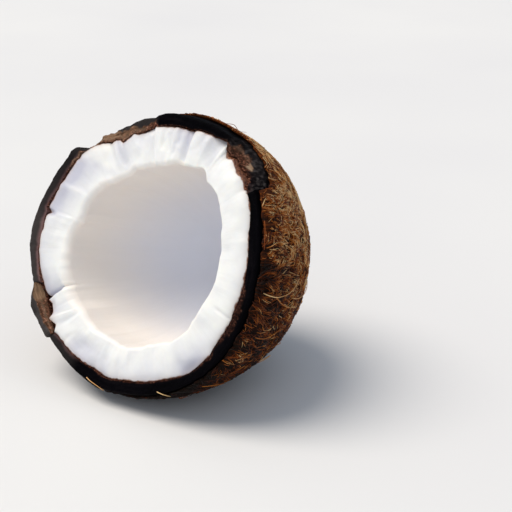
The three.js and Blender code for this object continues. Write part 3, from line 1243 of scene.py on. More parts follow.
@dataclass
class Shell:
    """The hard shell: a bowl whose rim is broken down in places."""

    shape: NutShape
    columns: int = 900
    inner_rows: int = 10
    rim_rows: int = 18
    bare_rows: int = 26
    covered_rows: int = 20
    bare_depth: float = 17.0
    seed: int = 23
    ring_radius: float = 50.0  # mm, for noise that runs round the rim
    edge_round: float = 0.8  # mm, round-off of the rim's outer edge
    round_from: float = 0.8  # share of the rim's width at which that starts
    outer_blend: float = 4.0  # mm over which the outer wall takes up the rim's edge
    broken_from: Pair = (0.3, 3.0)  # mm of drop at which the rim counts as broken
    # heights of old and broken rims' crumbs and grit, and the noise's cells, mm
    crumbs: Triple = (0.14, 0.75, 2.2)
    grit: Triple = (0.1, 0.25, 0.9)
    ridges: Lumps = Lumps(0.12, 1.6, 2)
    ridge_squeeze: float = 0.08  # of the way behind the cut, so that ridges run that way
    inner_wall_share: float = 0.2  # the inner wall is coloured like this place on the rim
    # streaks run round the rim, on a cylinder of this radius and height, and down the walls
    rim_streaks: Pair = (7.0, 6.5)
    wall_streak_squeeze: float = 0.2
    # (angle, mm behind the cut) of the rim's inner and outer edges
    inner_drop: Knots = (
        (0, 0.5), (36, 0.5), (38, 1.4), (42, 3.4), (52, 4.2), (57.5, 3), (60.5, 0.5), (96.5, 0.4),
        (98.5, 0.5), (117.6, 0.5), (119, 1.9), (121.4, 1.9), (122.6, 0.9), (126, 1.1), (132, 2),
        (138, 2.6), (140.8, 2.2), (141.8, 0.9), (204, 0.9), (234, 0.8), (250, 0.6),
    )
    outer_drop: Knots = (
        (36, 0), (37.4, 6), (40, 8.6), (47, 9.8), (57, 9.4), (59.5, 3), (61.5, 0), (97, 0),
        (98.3, 0.5), (106, 0.4), (110, 0.8), (116, 1.1), (118, 1.7), (120, 2.5), (123, 4.6), (126, 5),
        (129, 3), (132, 5), (134, 6.1), (136, 6.6), (138.5, 6.9), (140.9, 7.2), (141.5, 0.4),
        (142.5, 0),
    )
    # (angle, mm) by which the rim's outer edge stands out from its layer
    outer_knots: Knots = (
        (0, 0), (62, 0), (72, -0.8), (80, -0.9), (94, 0.3), (97, 0.3), (99, -0.2), (105, 1.1),
        (109, 1.1), (122, 0.3), (132, 0), (138, -0.7), (141, -0.3), (144, -0.6), (147, -0.5),
        (150, -0.9), (164, -1.2), (168, -0.9), (182, 0.8), (190, 1.2), (193, 0.6), (204, 0),
        (232, 0.4), (240, 0), (255, 0.3), (266, 1), (270, 0.4), (280, 0),
    )
    # (angle, share of the rim's width from inside that is freshly broken)
    fresh_share: Knots = (
        (0, 0.02), (36, 0.02), (40, 0.12), (46.4, 0.25), (49.6, 0.4), (51, 0.6), (58, 0.72),
        (60.5, 0.02), (96.5, 0.02), (98, 0.4), (106, 0.45), (112, 0.6), (126, 1),
        (139, 1.3), (141, 0.2), (147, 0.2), (152, 0.03), (206.4, 0.02), (209, 0.3), (230, 0.3),
        (232, 0.02), (300, 0.02), (312, 0.12), (323, 0.3), (329, 0.15), (336, 0.46), (351, 0.46),
        (358, 0.1),
    )
    # (angle, how clean the break is: 1 where no black is left on it)
    clean_knots: Knots = (
        (0, 0.5), (30, 0.5), (38, 1), (298, 1), (306, 0.4), (330, 0.28), (352, 0.26),
    )
    # (angle, tone of the break: 0 dark red-brown to 1 tan)
    tone_knots: Knots = (
        (0, 0.05), (38, 0.1), (49.6, 0.15), (60, 0.25), (64, 0.05), (96, 0.1), (99, 0.2), (106, 0.5),
        (122, 0.75), (133, 0.7), (139.5, 0.6), (141, 0.7), (149, 0.7), (153, 0.1), (200, 0.1),
        (210, 0.3), (230, 0.2), (240, 0.05),
    )
    # (angle, how dusty the old face is: 0 black to 1 grey-brown)
    dust_knots: Knots = (
        (0, 0), (38, 0), (50, 0.15), (60, 0.05), (62, 0), (96, 0), (99, 0.35), (137, 0.4),
        (144, 0.3), (147, 0.2), (160, 0.32), (170, 0.4), (177, 0.6), (205, 0.6),
        (232, 0.3), (246, 0.2), (252, 0), (270, 0),
    )
    fresh_soft: float = 0.07  # share of the width over which the break's colour ends
    fresh_wander: Triple = (0.03, 0.5, 0.22)  # least, by the share, most
    fresh_cell: float = 1.8  # mm, of that wandering
    pale_middle: Pair = (0.55, 0.32)  # place and reach, shares of the width
    pale_least: float = 0.3  # share of the tone that is left at the edges
    dust_levels: Pair = (0.45, 1.1)  # all over, and more at the inner edge
    dust_end: Pair = (0.04, 0.36)  # shares of the width over which the inner edge's dust ends
    dust_lumps: Lumps = Lumps(0.1, 2.5, 2)
    specks: Lumps = Lumps(0.3, 1, 2)  # of dust where the shell broke
    skin_end: Pair = (0.1, 0.5)  # shares of the width over which the skin's brown tinge ends
    knob: Bulge = Bulge(144.3, 4)
    knob_size: Pair = (0.4, 0.8)  # mm outwards and forwards
    chip_gap: Triple = (206.0, 231.3, 9.6)  # from, to, depth
    chip_slopes: Pair = (5.5, 0.6)  # degrees over which the gap deepens from each end
    chip_lumps: Lumps = Lumps(0.8, 3, 1)
    rag: Lumps = Lumps(0.28, 3.5)
    rag_from: Pair = (0.2, 2.0)  # mm of drop at which it grows
    # how much of it on each edge, and how much more where the rim is broken
    inner_rag: Pair = (0.5, 1.0)
    outer_rag: Pair = (0.6, 1.6)
    # a small nub of tan shell that stands out of the break
    nub_at: Pair = (48.0, 0.43)  # angle, share of the rim's width
    nub_size: Pair = (1.5, 0.18)
    nub_height: float = 0.6
    nub_clean: Pair = (0.3, 0.5)  # where it is free of black, as values of its bell
    nub_tan: tuple[float, Pair] = (1.6, (0.3, 0.6))  # how tan, and where
    nub_lumps: Lumps = Lumps(0.9, 0.9, 1)

    def drops(self, angle: Array, noise: Roughness) -> Array:
        """How far behind the cut the rim's inner and outer edges lie.

        Each is its own line round the rim, with the gap of the chip cut into both, and
        more ragged where the shell broke.

        Args:
            angle: degrees.
            noise: the shell's roughness.

        Returns:
            Two rows of mm: inner, outer.
        """
        ring = on_ring(self.ring_radius, angle)
        start, end, depth = self.chip_gap
        slow, quick = self.chip_slopes
        torn = angle + self.chip_lumps.on(ring, noise)
        chip = ramp(torn, start - quick, start + slow)
        chip = chip * (1.0 - ramp(torn, end - quick, end + quick))
        drops = [around(angle, knots) + depth * chip for knots in (self.inner_drop, self.outer_drop)]
        ragged, broken = self.rag.on(ring, noise), ramp(drops[1], *self.rag_from)
        return np.array([
            np.maximum(drop + ragged * (least + more * broken), 0.0)
            for drop, (least, more) in zip(drops, (self.inner_rag, self.outer_rag))
        ])

    def walls(self, angle: Array, inner: Array, outer: Array) -> Array:
        """The plain section: up the inner wall, across the rim and down the outer wall.

        Args:
            angle: degrees.
            inner: how far behind the cut the rim's inner edge lies, mm.
            outer: the same for its outer edge.

        Returns:
            Array (3, rows, columns) of across, up and behind.
        """
        shape = self.shape
        inside, outside = shape.shell_inside, shape.shell_outside
        knob_out, knob_forward = (size * self.knob.on(angle) for size in self.knob_size)
        # inner wall
        first = shape.latitude_at(inside, inner)
        share = np.linspace(0.0, 1.0, self.inner_rows, endpoint=False)[:, None]
        latitude = first + (shape.pole_ring - first) * (1.0 - share)
        hug = shape.hug(angle, shape.behind_at(inside, latitude))
        inner_wall = shape.section(inside, angle, latitude, hug)
        # rim
        out = knob_out + around(angle, self.outer_knots)
        low = shape.section(inside, angle, first, shape.hug(angle, inner))[:2]
        high = shape.section(outside, angle, shape.latitude_at(outside, outer), out)[:2]
        over = np.linspace(0.0, 1.0, self.rim_rows)[:, None]
        round_off = np.maximum(over - self.round_from, 0.0) / (1.0 - self.round_from)
        behind = inner + (outer - inner) * over + self.edge_round * round_off**2
        rim = np.stack([*(low + (high - low) * over), behind - knob_forward * over])
        # outer wall, bare at first and then under the coir
        bare = np.linspace(0.0, 1.0, self.bare_rows + 1)[1:, None]
        depth = outer + self.edge_round + (self.bare_depth - outer - self.edge_round) * bare
        covered = np.linspace(0.0, 1.0, self.covered_rows + 1)[1:, None]
        last = shape.latitude_at(outside, self.bare_depth)
        covered = last + (shape.pole_ring - last) * covered + 0.0 * angle
        latitude = np.concatenate([shape.latitude_at(outside, depth), covered])
        grown = np.concatenate([out * np.exp(-depth / self.outer_blend), 0.0 * covered])
        outer_wall = shape.section(outside, angle, latitude, grown)
        return np.concatenate([inner_wall, rim, outer_wall], axis=1)

    def tints(
        self, angle: Array, share: Array, points: Array, broken: Array,
        nub: Array, noise: Roughness,
    ) -> dict[str, Array]:
        """The shares of the finish's colours.

        Args:
            angle: degrees.
            share: place across the rim, 0 at its inner and 1 at its outer edge.
            points: array (rows, columns, 3), mm.
            broken: 1 where the rim is broken down.
            nub: 1 at the nub's middle.
            noise: the shell's roughness.

        Returns:
            Values by the name of their attribute.
        """
        limit = around(angle, self.fresh_share)
        least, by_share, most = self.fresh_wander
        wander = np.minimum(by_share * limit + least, most)
        wander = wander * noise.rough(points, self.fresh_cell)
        fresh = 1.0 - ramp(share + wander, limit - self.fresh_soft, limit + self.fresh_soft)
        fresh = np.maximum(fresh * around(angle, self.clean_knots), ramp(nub, *self.nub_clean))
        middle, reach = self.pale_middle
        bell = np.exp(-(((share - middle) / reach) ** 2))
        tan, tan_from = self.nub_tan
        pale = around(angle, self.tone_knots) * (self.pale_least + (1.0 - self.pale_least) * bell)
        pale = pale + tan * ramp(nub, *tan_from)
        all_over, more = self.dust_levels
        inner = 1.0 - ramp(share + self.dust_lumps.on(points, noise), *self.dust_end)
        dust = around(angle, self.dust_knots) * (all_over + more * inner)
        dust = dust + broken * np.maximum(self.specks.on(points, noise), 0.0)
        return {
            "fresh": fresh, "pale": pale, "dust": dust, "skin": 1.0 - ramp(share, *self.skin_end)
        }

    def surface(self) -> Surface:
        """The whole shell as one closed grid, crumbly on the rim and ridged outside."""
        shape, noise = self.shape, Roughness(self.seed)
        angle = full_circle(self.columns)
        inner, outer = self.drops(angle, noise)
        across, up, behind = self.walls(angle, inner, outer)
        points = shape.place(across, up, behind)
        on_rim = slice(self.inner_rows, self.inner_rows + self.rim_rows)
        share = np.ones_like(across)
        share[: on_rim.start] = self.inner_wall_share
        share[on_rim] = np.linspace(0.0, 1.0, self.rim_rows)[:, None]
        # the rim's crumbs and its nub stand forwards
        broken = ramp(outer, *self.broken_from)
        crumbs, grit = (
            (old + more * broken) * noise.rough(points[on_rim], cell, octaves)
            for (old, more, cell), octaves in ((self.crumbs, 3), (self.grit, 1))
        )
        beside = turn_from(angle, self.nub_at[0]) / self.nub_size[0]
        over = (share[on_rim] - self.nub_at[1]) / self.nub_size[1]
        nub = np.zeros_like(across)
        nub[on_rim] = np.exp(self.nub_lumps.on(points[on_rim], noise) - beside**2 - over**2)
        forward = crumbs + grit + self.nub_height * nub[on_rim]
        points[on_rim] += forward[..., None] * shape.into(-1.0)
        # the outer wall's ridges are cut into it, square to the axis
        outside = slice(on_rim.stop, None)
        away = (points - shape.place(0.0, shape.rise(behind), behind))[outside]
        away = away / (np.linalg.norm(away, axis=-1, keepdims=True) + 1e-6)
        stretched = on_ring(self.ring_radius, angle, self.ridge_squeeze * behind)[outside]
        cut = self.ridges.on(stretched, noise) - self.ridges.height
        points[outside] += cut[..., None] * away
        radius, height = self.rim_streaks
        grain = on_ring(self.ring_radius, angle, self.wall_streak_squeeze * behind)
        grain[on_rim] = on_ring(radius, angle, height * share[on_rim])
        tints = self.tints(angle, share, points, broken, nub, noise)
        return Surface.closed_grid(points, {**tints, "grain": grain})

    def make(self) -> Object:
        """Builds and dresses the shell."""
        return make_piece("hard_shell", self.surface(), ShellFinish(), "shell")


@dataclass
class LooseChip:
    """The chip of shell that is knocked loose and leans out of its gap in the rim."""

    shape: NutShape
    rows: int = 110
    loop: int = 90
    depth: float = 9.0
    seed: int = 37
    # (share round the section, starting at the front's inner edge) of its corners
    corners: tuple[float, ...] = (0.0, 0.27, 0.43, 0.68, 0.82, 1.0)
    back_narrowing: Pair = (0.1, 1.4)  # mm, at the back's inner and outer corners
    ridge_share: float = 0.15  # of the slant, by which the ridge lies back
    point: Pair = (0.25, 0.6)  # share of its length that tapers to the upper end, and a power
    least_depth: float = 0.5
    closing: float = 0.02  # share of its length over which each end closes
    # shares round the section: the middle of its front, and how far its splits go from that
    front_middle: float = 0.2
    split_ends: Pair = (0.26, 0.3)
    # and the middle of the fresh break, how far it goes, and where it starts again
    break_middle: float = 0.05
    break_ends: Pair = (0.2, 0.225)
    break_starts: Pair = (0.74, 0.78)
    splits: Lumps = Lumps(0.35, 1.3)
    lumps: Lumps = Lumps(0.25, 2.6)
    edge_lumps: Lumps = Lumps(0.02, 2.2)
    tone_lumps: Lumps = Lumps(0.25, 2, 2)
    dust_lumps: Lumps = Lumps(0.15, 3, 2)
    tan: float = 1.75
    tan_ends: Pair = (211.0, 216.0)  # degrees over which red-brown takes over
    tan_lost: float = 0.85  # share of the tan that it takes away
    tan_stops: Pair = (0.6, 0.8)  # shares round the section over which the tan ends
    dust: float = 0.3
    streaks: Pair = (6.0, 26.0)  # radius and height of the cylinder that they run round
    lumps_way: Triple = (-0.35, 0.0, -0.15)  # by which the lumps also move all its faces
    smoothing: Triple = (0.25, 0.5, 0.25)  # weights of a corner's neighbours and itself
    # (angle, radius in mm of the inner edge, the ridge and the outer edge of its front)
    front_knots: tuple[tuple[float, float, float, float], ...] = (
        (206.4, 49, 49.4, 49.8), (207.4, 48, 49.8, 50.3), (208.5, 47.4, 50.3, 51),
        (210.5, 47.5, 51.3, 52.2), (213, 47.4, 51.1, 53.5), (215.3, 47.2, 50.7, 54.1),
        (218.3, 47.2, 50.3, 53.6), (221.5, 47.3, 50.3, 53.3), (225, 47.6, 50.3, 52.9),
        (228.5, 47.8, 49.7, 52.6), (230.3, 48, 49.5, 52.4), (231.8, 48.4, 49.8, 51.8),
    )
    # (share along, mm) by which its inner edge lies behind the ridge
    slant_knots: Knots = (
        (0, 0.3), (0.08, 1.2), (0.2, 2.2), (0.5, 2.6), (0.75, 2), (0.95, 1.2), (1, 0.8),
    )

    def surface(self) -> Surface:
        """A slab along the rim that comes to a point at its upper end.

        The section has five corners: the inner edge, the ridge and the outer edge of the
        front, and two at the back. Between them it is straight, then smoothed a little.
        """
        shape, noise = self.shape, Roughness(self.seed)
        along = np.linspace(0.0, 1.0, self.rows)
        knots = np.array(self.front_knots)
        angle = knots[0, 0] + (knots[-1, 0] - knots[0, 0]) * along
        inner, ridge, outer = (np.interp(angle, knots[:, 0], knots[:, i]) for i in (1, 2, 3))
        slant = np.interp(along, *np.array(self.slant_knots).T)
        taper, power = self.point
        deep = self.depth * np.minimum(along / taper, 1.0) ** power + self.least_depth
        narrow_in, narrow_out = self.back_narrowing
        radii = [inner, ridge, outer, outer - narrow_out, inner + narrow_in, inner]
        front_edge = np.full_like(deep, self.least_depth)
        backs = [slant, self.ridge_share * slant, front_edge, deep, deep, slant]
        place = np.linspace(0.0, 1.0, self.loop, endpoint=False)
        closing = np.clip(np.minimum(along, 1.0 - along) / self.closing, 0.03, 1.0)[:, None] ** 0.5
        drawn = []
        for corners in (radii, backs):
            rows = zip(*corners)
            line = np.stack([np.interp(place, self.corners, row) for row in rows])
            for _ in range(2):
                line = sum(w * np.roll(line, i - 1, 1) for i, w in enumerate(self.smoothing))
            drawn.append(line.mean(axis=1, keepdims=True) * (1.0 - closing) + line * closing)
        radius, behind = drawn
        turn, angle = np.radians(angle)[:, None], angle[:, None]
        across = shape.width_ratio * radius * np.cos(turn)
        points = shape.place(across, radius * np.sin(turn) + shape.rise(behind), behind)
        # split along its length on the front, and a little lumpy
        on_front = 1.0 - ramp(np.abs(place - self.front_middle), *self.split_ends)
        radius, height = self.streaks
        grain = on_ring(radius, angle, height * place[None, :])
        lumps = self.lumps.on(points, noise) * closing
        forward = (self.splits.on(grain, noise) * closing + lumps) * on_front
        points = points + forward[..., None] * shape.into(-1.0)
        points = points + lumps[..., None] * np.array(self.lumps_way)
        # freshly broken in front and black on the old faces
        edge = place + self.edge_lumps.on(points, noise)
        old = ramp(np.abs(edge - self.break_middle), *self.break_ends)
        fresh = 1.0 - old * (1.0 - ramp(edge, *self.break_starts))
        pale = self.tan + self.tone_lumps.on(grain, noise)
        pale = pale * (1.0 - self.tan_lost * ramp(angle, *self.tan_ends))
        pale = pale * (1.0 - ramp(edge, *self.tan_stops))
        dust = self.dust + self.dust_lumps.on(points, noise)
        values = {"fresh": fresh, "pale": pale, "dust": dust, "grain": grain}
        return Surface.closed_grid(points, values)

    def make(self) -> Object:
        """Builds and dresses the chip."""
        return make_piece(
            "loose_shell_chip", self.surface(), ShellFinish(), "shell_chip"
        )


# ---- Coir ----


@dataclass
class CoirBed:
    """The matted bed of coir on the shell, thin at the rim and pressed flat underneath."""

    shape: NutShape
    columns: int = 640
    rows: int = 60
    inner_rows: int = 5
    seed: int = 41
    ring_radius: float = 50.0  # mm, for noise that runs round the bed
    grain_squeeze: float = 0.1  # of the way behind the cut, so that bristles run that way
    crowding: float = 1.15  # power that crowds the outer rows towards the front
    pole_rings: Pair = (88.4, 88.9)  # last latitudes, inside and outside
    front_thickness: float = 0.65
    heel: Bulge = Bulge(270, 48, 2)
    heel_middle: float = 46.0  # mm behind the cut
    heel_reach: float = 26.0
    rag: Lumps = Lumps(0.6, 2.4, 2)
    edge_lumps: Lumps = Lumps(0.5, 2.2)
    bristles: Lumps = Lumps(0.42, 1.7)
    locks: Lumps = Lumps(0.3, 5, 2)
    lock_squeeze: float = 4.0  # locks are this much shorter than they are wide
    bristly_from: float = 1.7  # mm of thickness at which both reach their full height
    floor_gap: float = 0.02
    # (angle, mm behind the cut) where the coat starts
    front_knots: Knots = (
        (-50, 1.3), (27, 1.3), (35.5, 2), (37, 7.5), (40, 10.3), (50, 11.4), (58, 11), (64, 8),
        (72, 6), (80, 5.5), (90, 6.5), (100, 8), (116, 9), (120, 13), (142, 13), (146.5, 6), (152, 4),
        (203, 4), (206, 11.5), (229, 11.5), (232, 4), (270, 2.8), (300, 2),
    )
    # (angle, mm) thickness at the middle of the nut
    thickness_knots: Knots = (
        (0, 1.7), (22, 1.5), (32, 0.7), (50, 0.2), (70, 0.1), (88, 0.4), (110, 1.3), (150, 1.7),
        (262, 1.7), (285, 1.1), (310, 1.3), (330, 1.7),
    )
    # (angle, how much paler its coir is: painted light, paler on top, and painted shade, darker
    # underneath)
    tone_knots: Knots = (
        (0, -0.02), (4, 0), (5.5, -0.26), (7.5, 0.12), (20, 0.16), (32, 0.32), (60, 0.6), (90, 0.55),
        (130, 0.2), (220, 0), (270, -0.38), (300, -0.42), (330, -0.3), (350, -0.08),
    )
    # (angle, mm) over which it grows to its full thickness
    taper_knots: Knots = (
        (-50, 6), (35, 8), (50, 12), (60, 10), (80, 10), (100, 14), (200, 24), (260, 18), (300, 9),
    )

    @property
    def underside(self) -> Layer:
        """The layer just outside the shell, on which the bed lies."""
        return self.shape.shell_outside.thicker(self.shape.gap)

    def front(self, angle: Array) -> Array:
        """Where the bed starts, in mm behind the cut: a ragged line."""
        ragged = self.rag.on(on_ring(self.ring_radius, angle), Roughness(self.seed))
        return around(angle, self.front_knots) + ragged

    def cover(self, angle: Array, behind: Array) -> tuple[Array, Array]:
        """How far behind the bed's front a place is: in mm, and as a share of the taper."""
        past = behind - self.front(angle)
        return past, np.clip(past / around(angle, self.taper_knots), 0.0, 1.0)

    def height(self, angle: Array, behind: Array) -> Array:
        """Thickness of the bed: it grows from the front edge, with a heel underneath.

        Args:
            angle: degrees.
            behind: mm behind the cut.

        Returns:
            Millimetres.
        """
        grown = ramp(self.cover(angle, behind)[1], 0.0, 1.0)
        depth_share = np.clip(behind / self.underside.depth, 0.0, 1.0)
        share = (1.0 - depth_share**self.shape.power) ** (1.0 / self.shape.power)
        heel = np.exp(-(((behind - self.heel_middle) / self.heel_reach) ** 2))
        heel = self.heel.on(angle) * share * heel
        full = around(angle, self.thickness_knots)
        return self.front_thickness + (full - self.front_thickness) * grown + heel

    def from_shell(self, angle: Array, latitude: Array, thick: Array) -> Array:
        """Points over the bed's underside, moved out from the axis and, near the pole, back.

        Args:
            angle: degrees.
            latitude: degrees.
            thick: height over the underside, mm.

        Returns:
            Array (..., 3), mm.
        """
        shape, under = self.shape, self.underside
        across, up, behind = shape.section(under, angle, latitude)
        stretch, rise = (under.radius + thick) / under.radius, shape.rise(behind)
        far = behind + thick * np.sin(np.radians(latitude)) ** 2
        return shape.place(across * stretch, (up - rise) * stretch + rise, far)

    def from_face(self, angle: Array, latitude: Array, above: Array) -> Array:
        """Points that many mm above the bed's mean outer face."""
        behind = self.shape.behind_at(self.underside, latitude)
        return self.from_shell(angle, latitude, self.height(angle, behind) + above)

    def surface(self) -> Surface:
        """The bed as one closed grid: inner wall, front edge and lumpy outer face."""
        shape, noise, angle = self.shape, Roughness(self.seed), full_circle(self.columns)
        start = self.front(angle)
        start = start + self.edge_lumps.on(on_ring(self.ring_radius, angle), noise)
        first = shape.latitude_at(self.underside, start)
        inner = np.linspace(1.0, 0.0, self.inner_rows)[:, None]
        outer = np.linspace(0.0, 1.0, self.rows)[:, None] ** self.crowding
        latitude = np.concatenate(
            [first + (ring - first) * rows for ring, rows in zip(self.pole_rings, (inner, outer))]
        )
        behind = shape.behind_at(self.underside, latitude)
        grain = on_ring(self.ring_radius, angle, self.grain_squeeze * behind)
        bristle = self.bristles.on(grain, noise)
        bristle = bristle + self.locks.on(grain * [1, 1, self.lock_squeeze], noise)
        thick = self.height(angle, behind)
        thick = thick + bristle * np.minimum(thick / self.bristly_from, 1.0)
        thick[: self.inner_rows] = 0.0
        points = self.from_shell(angle, latitude, thick)
        points[..., 2] = np.maximum(points[..., 2], self.floor_gap)
        # painted light and shade round the nut: paler on top, darker underneath
        tone = around(angle, self.tone_knots) + 0.0 * behind
        return Surface.closed_grid(points, {"grain": grain, "tone": tone})

    def make(self) -> Object:
        """Builds and dresses the bed."""
        return make_piece("coir_bed", self.surface(), CoirMatFinish(), "fibre_coat")


@dataclass
class CoirFibres:
    """The loose fibres on the bed, in short bristly tufts that mostly run to the pole."""

    shape: NutShape
    bed: CoirBed
    tufts: int = 3300
    per_tuft: int = 13
    steps: int = 3
    sides: int = 3
    seed: int = 53
    mean_radius: float = 60.0  # mm from the middle of the cut, for arc lengths
    floor_gap: float = 0.03
    root_spread: float = 0.3  # of the tufts' spacing
    tuft_spread: float = 0.95  # mm from a tuft's root to its fibres' roots
    drawn_in: float = 0.5  # share of that by which the tips come together
    heading_lumps: Lumps = Lumps(0.8, 8, 2)  # radians
    # spreads from tuft to tuft, and from fibre to fibre in a tuft
    heading_spread: Pair = (0.25, 0.4)  # radians
    bend_spread: Pair = (0.25, 0.15)  # mm sideways for each mm
    tone_spread: Pair = (0.14, 0.24)
    turned_round: float = 0.12  # share of the tufts that run away from the pole
    tuft_length: Pair = (3.0, 6.0)
    length_share: Pair = (0.55, 1.15)
    tuft_lift: Pair = (0.4, 1.1)  # mm off the bed
    lift_spread: float = 0.2
    lift_share: Pair = (0.3, 0.45)  # on the bare shell, and more for each mm of bed
    lift_limits: Pair = (0.4, 1.0)
    front_lift: float = 0.55  # share of the height that is left at the bed's front
    tip_tone: Pair = (0.3, 0.4)  # paler by this in a length, beyond this share of it
    lift_tone: Pair = (0.15, 0.9)  # painted light: paler by this for each mm, above this lift
    wave: Pair = (0.22, 1.8)  # mm to the side, and half turns in a length
    arch: Pair = (0.5, 0.9)  # half turns of the rise, so 0.5 ends at the top
    early_rise: float = 0.9  # power that makes the rise start steeply
    root_depth: float = 0.3  # mm into the bed
    thickness: Pair = (0.11, 0.2)  # radius at the root, mm
    thinned: float = 0.55  # share of it that is gone at the tip
    lowest: float = 0.25  # degrees of latitude
    overhang: float = 0.9  # mm beyond the bed's front
    more_overhang: Bulge = Bulge(335, 55, 1.3)
    shade: float = 0.28  # painted shade: how much darker they are at the bed's front
    less_shade: Bulge = Bulge(338, 42, 0.3)
    shade_reach: Pair = (2.0, 14.0)  # mm behind the bed's front over which it ends
    mean_tone: float = 0.45
    sectors: tuple[str, ...] = (
        "right", "upper_right", "upper_left", "left", "lower_left", "lower_right"
    )

    def walk(self, start: Array, north: Array, east: Array) -> tuple[Array, Array]:
        """Ways over the nut, laid out on the tangent plane at their start.

        Args:
            start: unit vectors from the middle of the cut, array (ways, 3).
            north: towards the pole, mm, array (ways, steps).
            east: round the axis, mm, array (ways, steps).

        Returns:
            Angle and latitude of each step, degrees.
        """
        turn = np.arctan2(start[:, 1], start[:, 0])
        level = np.arcsin(np.clip(start[:, 2], -1.0, 1.0))
        to_pole = np.stack(
            [-np.sin(level) * np.cos(turn), -np.sin(level) * np.sin(turn), np.cos(level)], -1
        )
        aside = np.stack([-np.sin(turn), np.cos(turn), 0.0 * turn], -1)
        way = north[..., None] * to_pole[:, None] + east[..., None] * aside[:, None]
        way = start[:, None] + way / self.mean_radius
        way /= np.linalg.norm(way, axis=-1, keepdims=True)
        angle = np.degrees(np.arctan2(way[..., 1], way[..., 0]))
        return angle, np.degrees(np.arcsin(np.clip(way[..., 2], -1.0, 1.0)))

    def tuft_values(self, draw: np.random.Generator) -> Array:
        """What the fibres of a tuft share.

        The roots lie on a spiral of golden angles, a little displaced. The heading comes
        from a slow noise.

        Args:
            draw: source of random numbers.

        Returns:
            Rows of root (three of them), heading, length, bend, tone and lift, with one
            column a tuft.
        """
        count = self.tufts
        rank = np.arange(count)
        root = on_dome(rank * math.pi * (3.0 - math.sqrt(5.0)), (rank + 0.5) / count)
        spacing = math.sqrt(2.0 * math.pi / count)
        root = root + draw.normal(0.0, self.root_spread * spacing, (count, 3))
        heading = self.heading_lumps.on(root * self.mean_radius, Roughness(self.seed))
        heading = heading + draw.normal(0.0, self.heading_spread[0], count)
        heading = heading + math.pi * (draw.uniform(size=count) < self.turned_round)
        length = draw.uniform(*self.tuft_length, count)
        bend = draw.normal(0.0, self.bend_spread[0], count)
        tone = draw.normal(0.0, self.tone_spread[0], count)
        lift = draw.uniform(*self.tuft_lift, count)
        return np.array([*root.T, heading, length, bend, tone, lift])

    def paths(self, draw: np.random.Generator) -> tuple[Array, Array, Array]:
        """Centre lines of all the fibres, their radii and tones.

        A fibre starts near its tuft's root, bends and waves sideways, draws in towards
        the tuft's middle, and rises off the bed to its tip or arches back down to it. It
        is paler towards its tip, painted paler where it stands higher as light on the top
        layer, and darker near the rim as painted shade.

        Args:
            draw: source of random numbers.

        Returns:
            Points (fibres, steps, 3) and two arrays (fibres, steps).
        """
        bed, total = self.bed, self.tufts * self.per_tuft
        columns = np.repeat(self.tuft_values(draw), self.per_tuft, axis=1)
        start, (heading, length, bend, tuft_tone, lift) = columns[:3].T, columns[3:]
        start = start / np.linalg.norm(start, axis=-1, keepdims=True)
        from_north, from_east = draw.normal(0.0, self.tuft_spread, (2, total, 1))
        heading = (heading + draw.normal(0.0, self.heading_spread[1], total))[:, None]
        length = (length * draw.uniform(*self.length_share, total))[:, None]
        bend = (bend + draw.normal(0.0, self.bend_spread[1], total))[:, None]
        lift = (lift + np.abs(draw.normal(0.0, self.lift_spread, total)))[:, None]
        share = np.linspace(0.0, 1.0, self.steps)[None, :]
        phase = draw.uniform(0.0, 2.0 * math.pi, total)[:, None]
        wave_height, half_turns = self.wave
        wave = draw.normal(0.0, wave_height, total)[:, None]
        sway = bend * length * share**2 + wave * np.sin(half_turns * math.pi * share + phase)
        apart = 1.0 - self.drawn_in * share**2
        north = length * share * np.cos(heading) - sway * np.sin(heading) + from_north * apart
        east = length * share * np.sin(heading) + sway * np.cos(heading) + from_east * apart
        angle, latitude = self.walk(start, north, east)
        # rising less where the bed is thin or only starts
        arch = draw.uniform(*self.arch, total)[:, None]
        full = around(angle[:, :1], bed.thickness_knots)
        bare, by_bed = self.lift_share
        lift = lift * np.clip(bare + by_bed * full, *self.lift_limits)
        above = lift * np.sin(math.pi * arch * share**self.early_rise) - self.root_depth
        past, cover = bed.cover(angle, self.shape.behind_at(bed.underside, latitude))
        above = above * (self.front_lift + (1.0 - self.front_lift) * cover)
        path = bed.from_face(angle, latitude, above)
        kept = (past > -(self.overhang + self.more_overhang.on(angle))).all(axis=1)
        kept &= (latitude > self.lowest).all(axis=1)
        radius = draw.uniform(*self.thickness, total)[:, None] * (1.0 - self.thinned * share**2)
        path[..., 2] = np.maximum(path[..., 2], radius + self.floor_gap)
        own = draw.normal(0.0, self.tone_spread[1], total) + tuft_tone
        # painted light on top and painted shade underneath, from the bed's knots
        tone = self.mean_tone + own[:, None] + around(angle, bed.tone_knots)
        # painted shade: darker near the bed's front, beside the rim
        shade = self.shade - self.less_shade.on(angle)
        tone = tone - shade * (1.0 - ramp(past, *self.shade_reach))
        for (paler, start), value in ((self.tip_tone, share), (self.lift_tone, lift)):
            tone = tone + paler * (value - start)
        return path[kept], radius[kept], tone[kept]

    def make(self) -> list[Object]:
        """Builds the fibres as one piece for each sixth of the way round the nut."""
        path, radius, tone = self.paths(np.random.default_rng(self.seed))
        offset = path[:, 0] - self.shape.place(0.0, 0.0, 0.0)
        turn = np.degrees(np.arctan2(offset[:, 2], offset[:, 0]))
        wide = FULL_TURN / len(self.sectors)
        pieces = []
        for number, sector in enumerate(self.sectors):
            mine = np.abs(turn_from(turn, wide * number)) <= wide / 2.0
            surface = Surface.tubes(path[mine], radius[mine], self.sides, {"tone": tone[mine]})
            pieces.append(make_piece(f"coir_fibres_{sector}", surface, CoirFinish()))
        return pieces


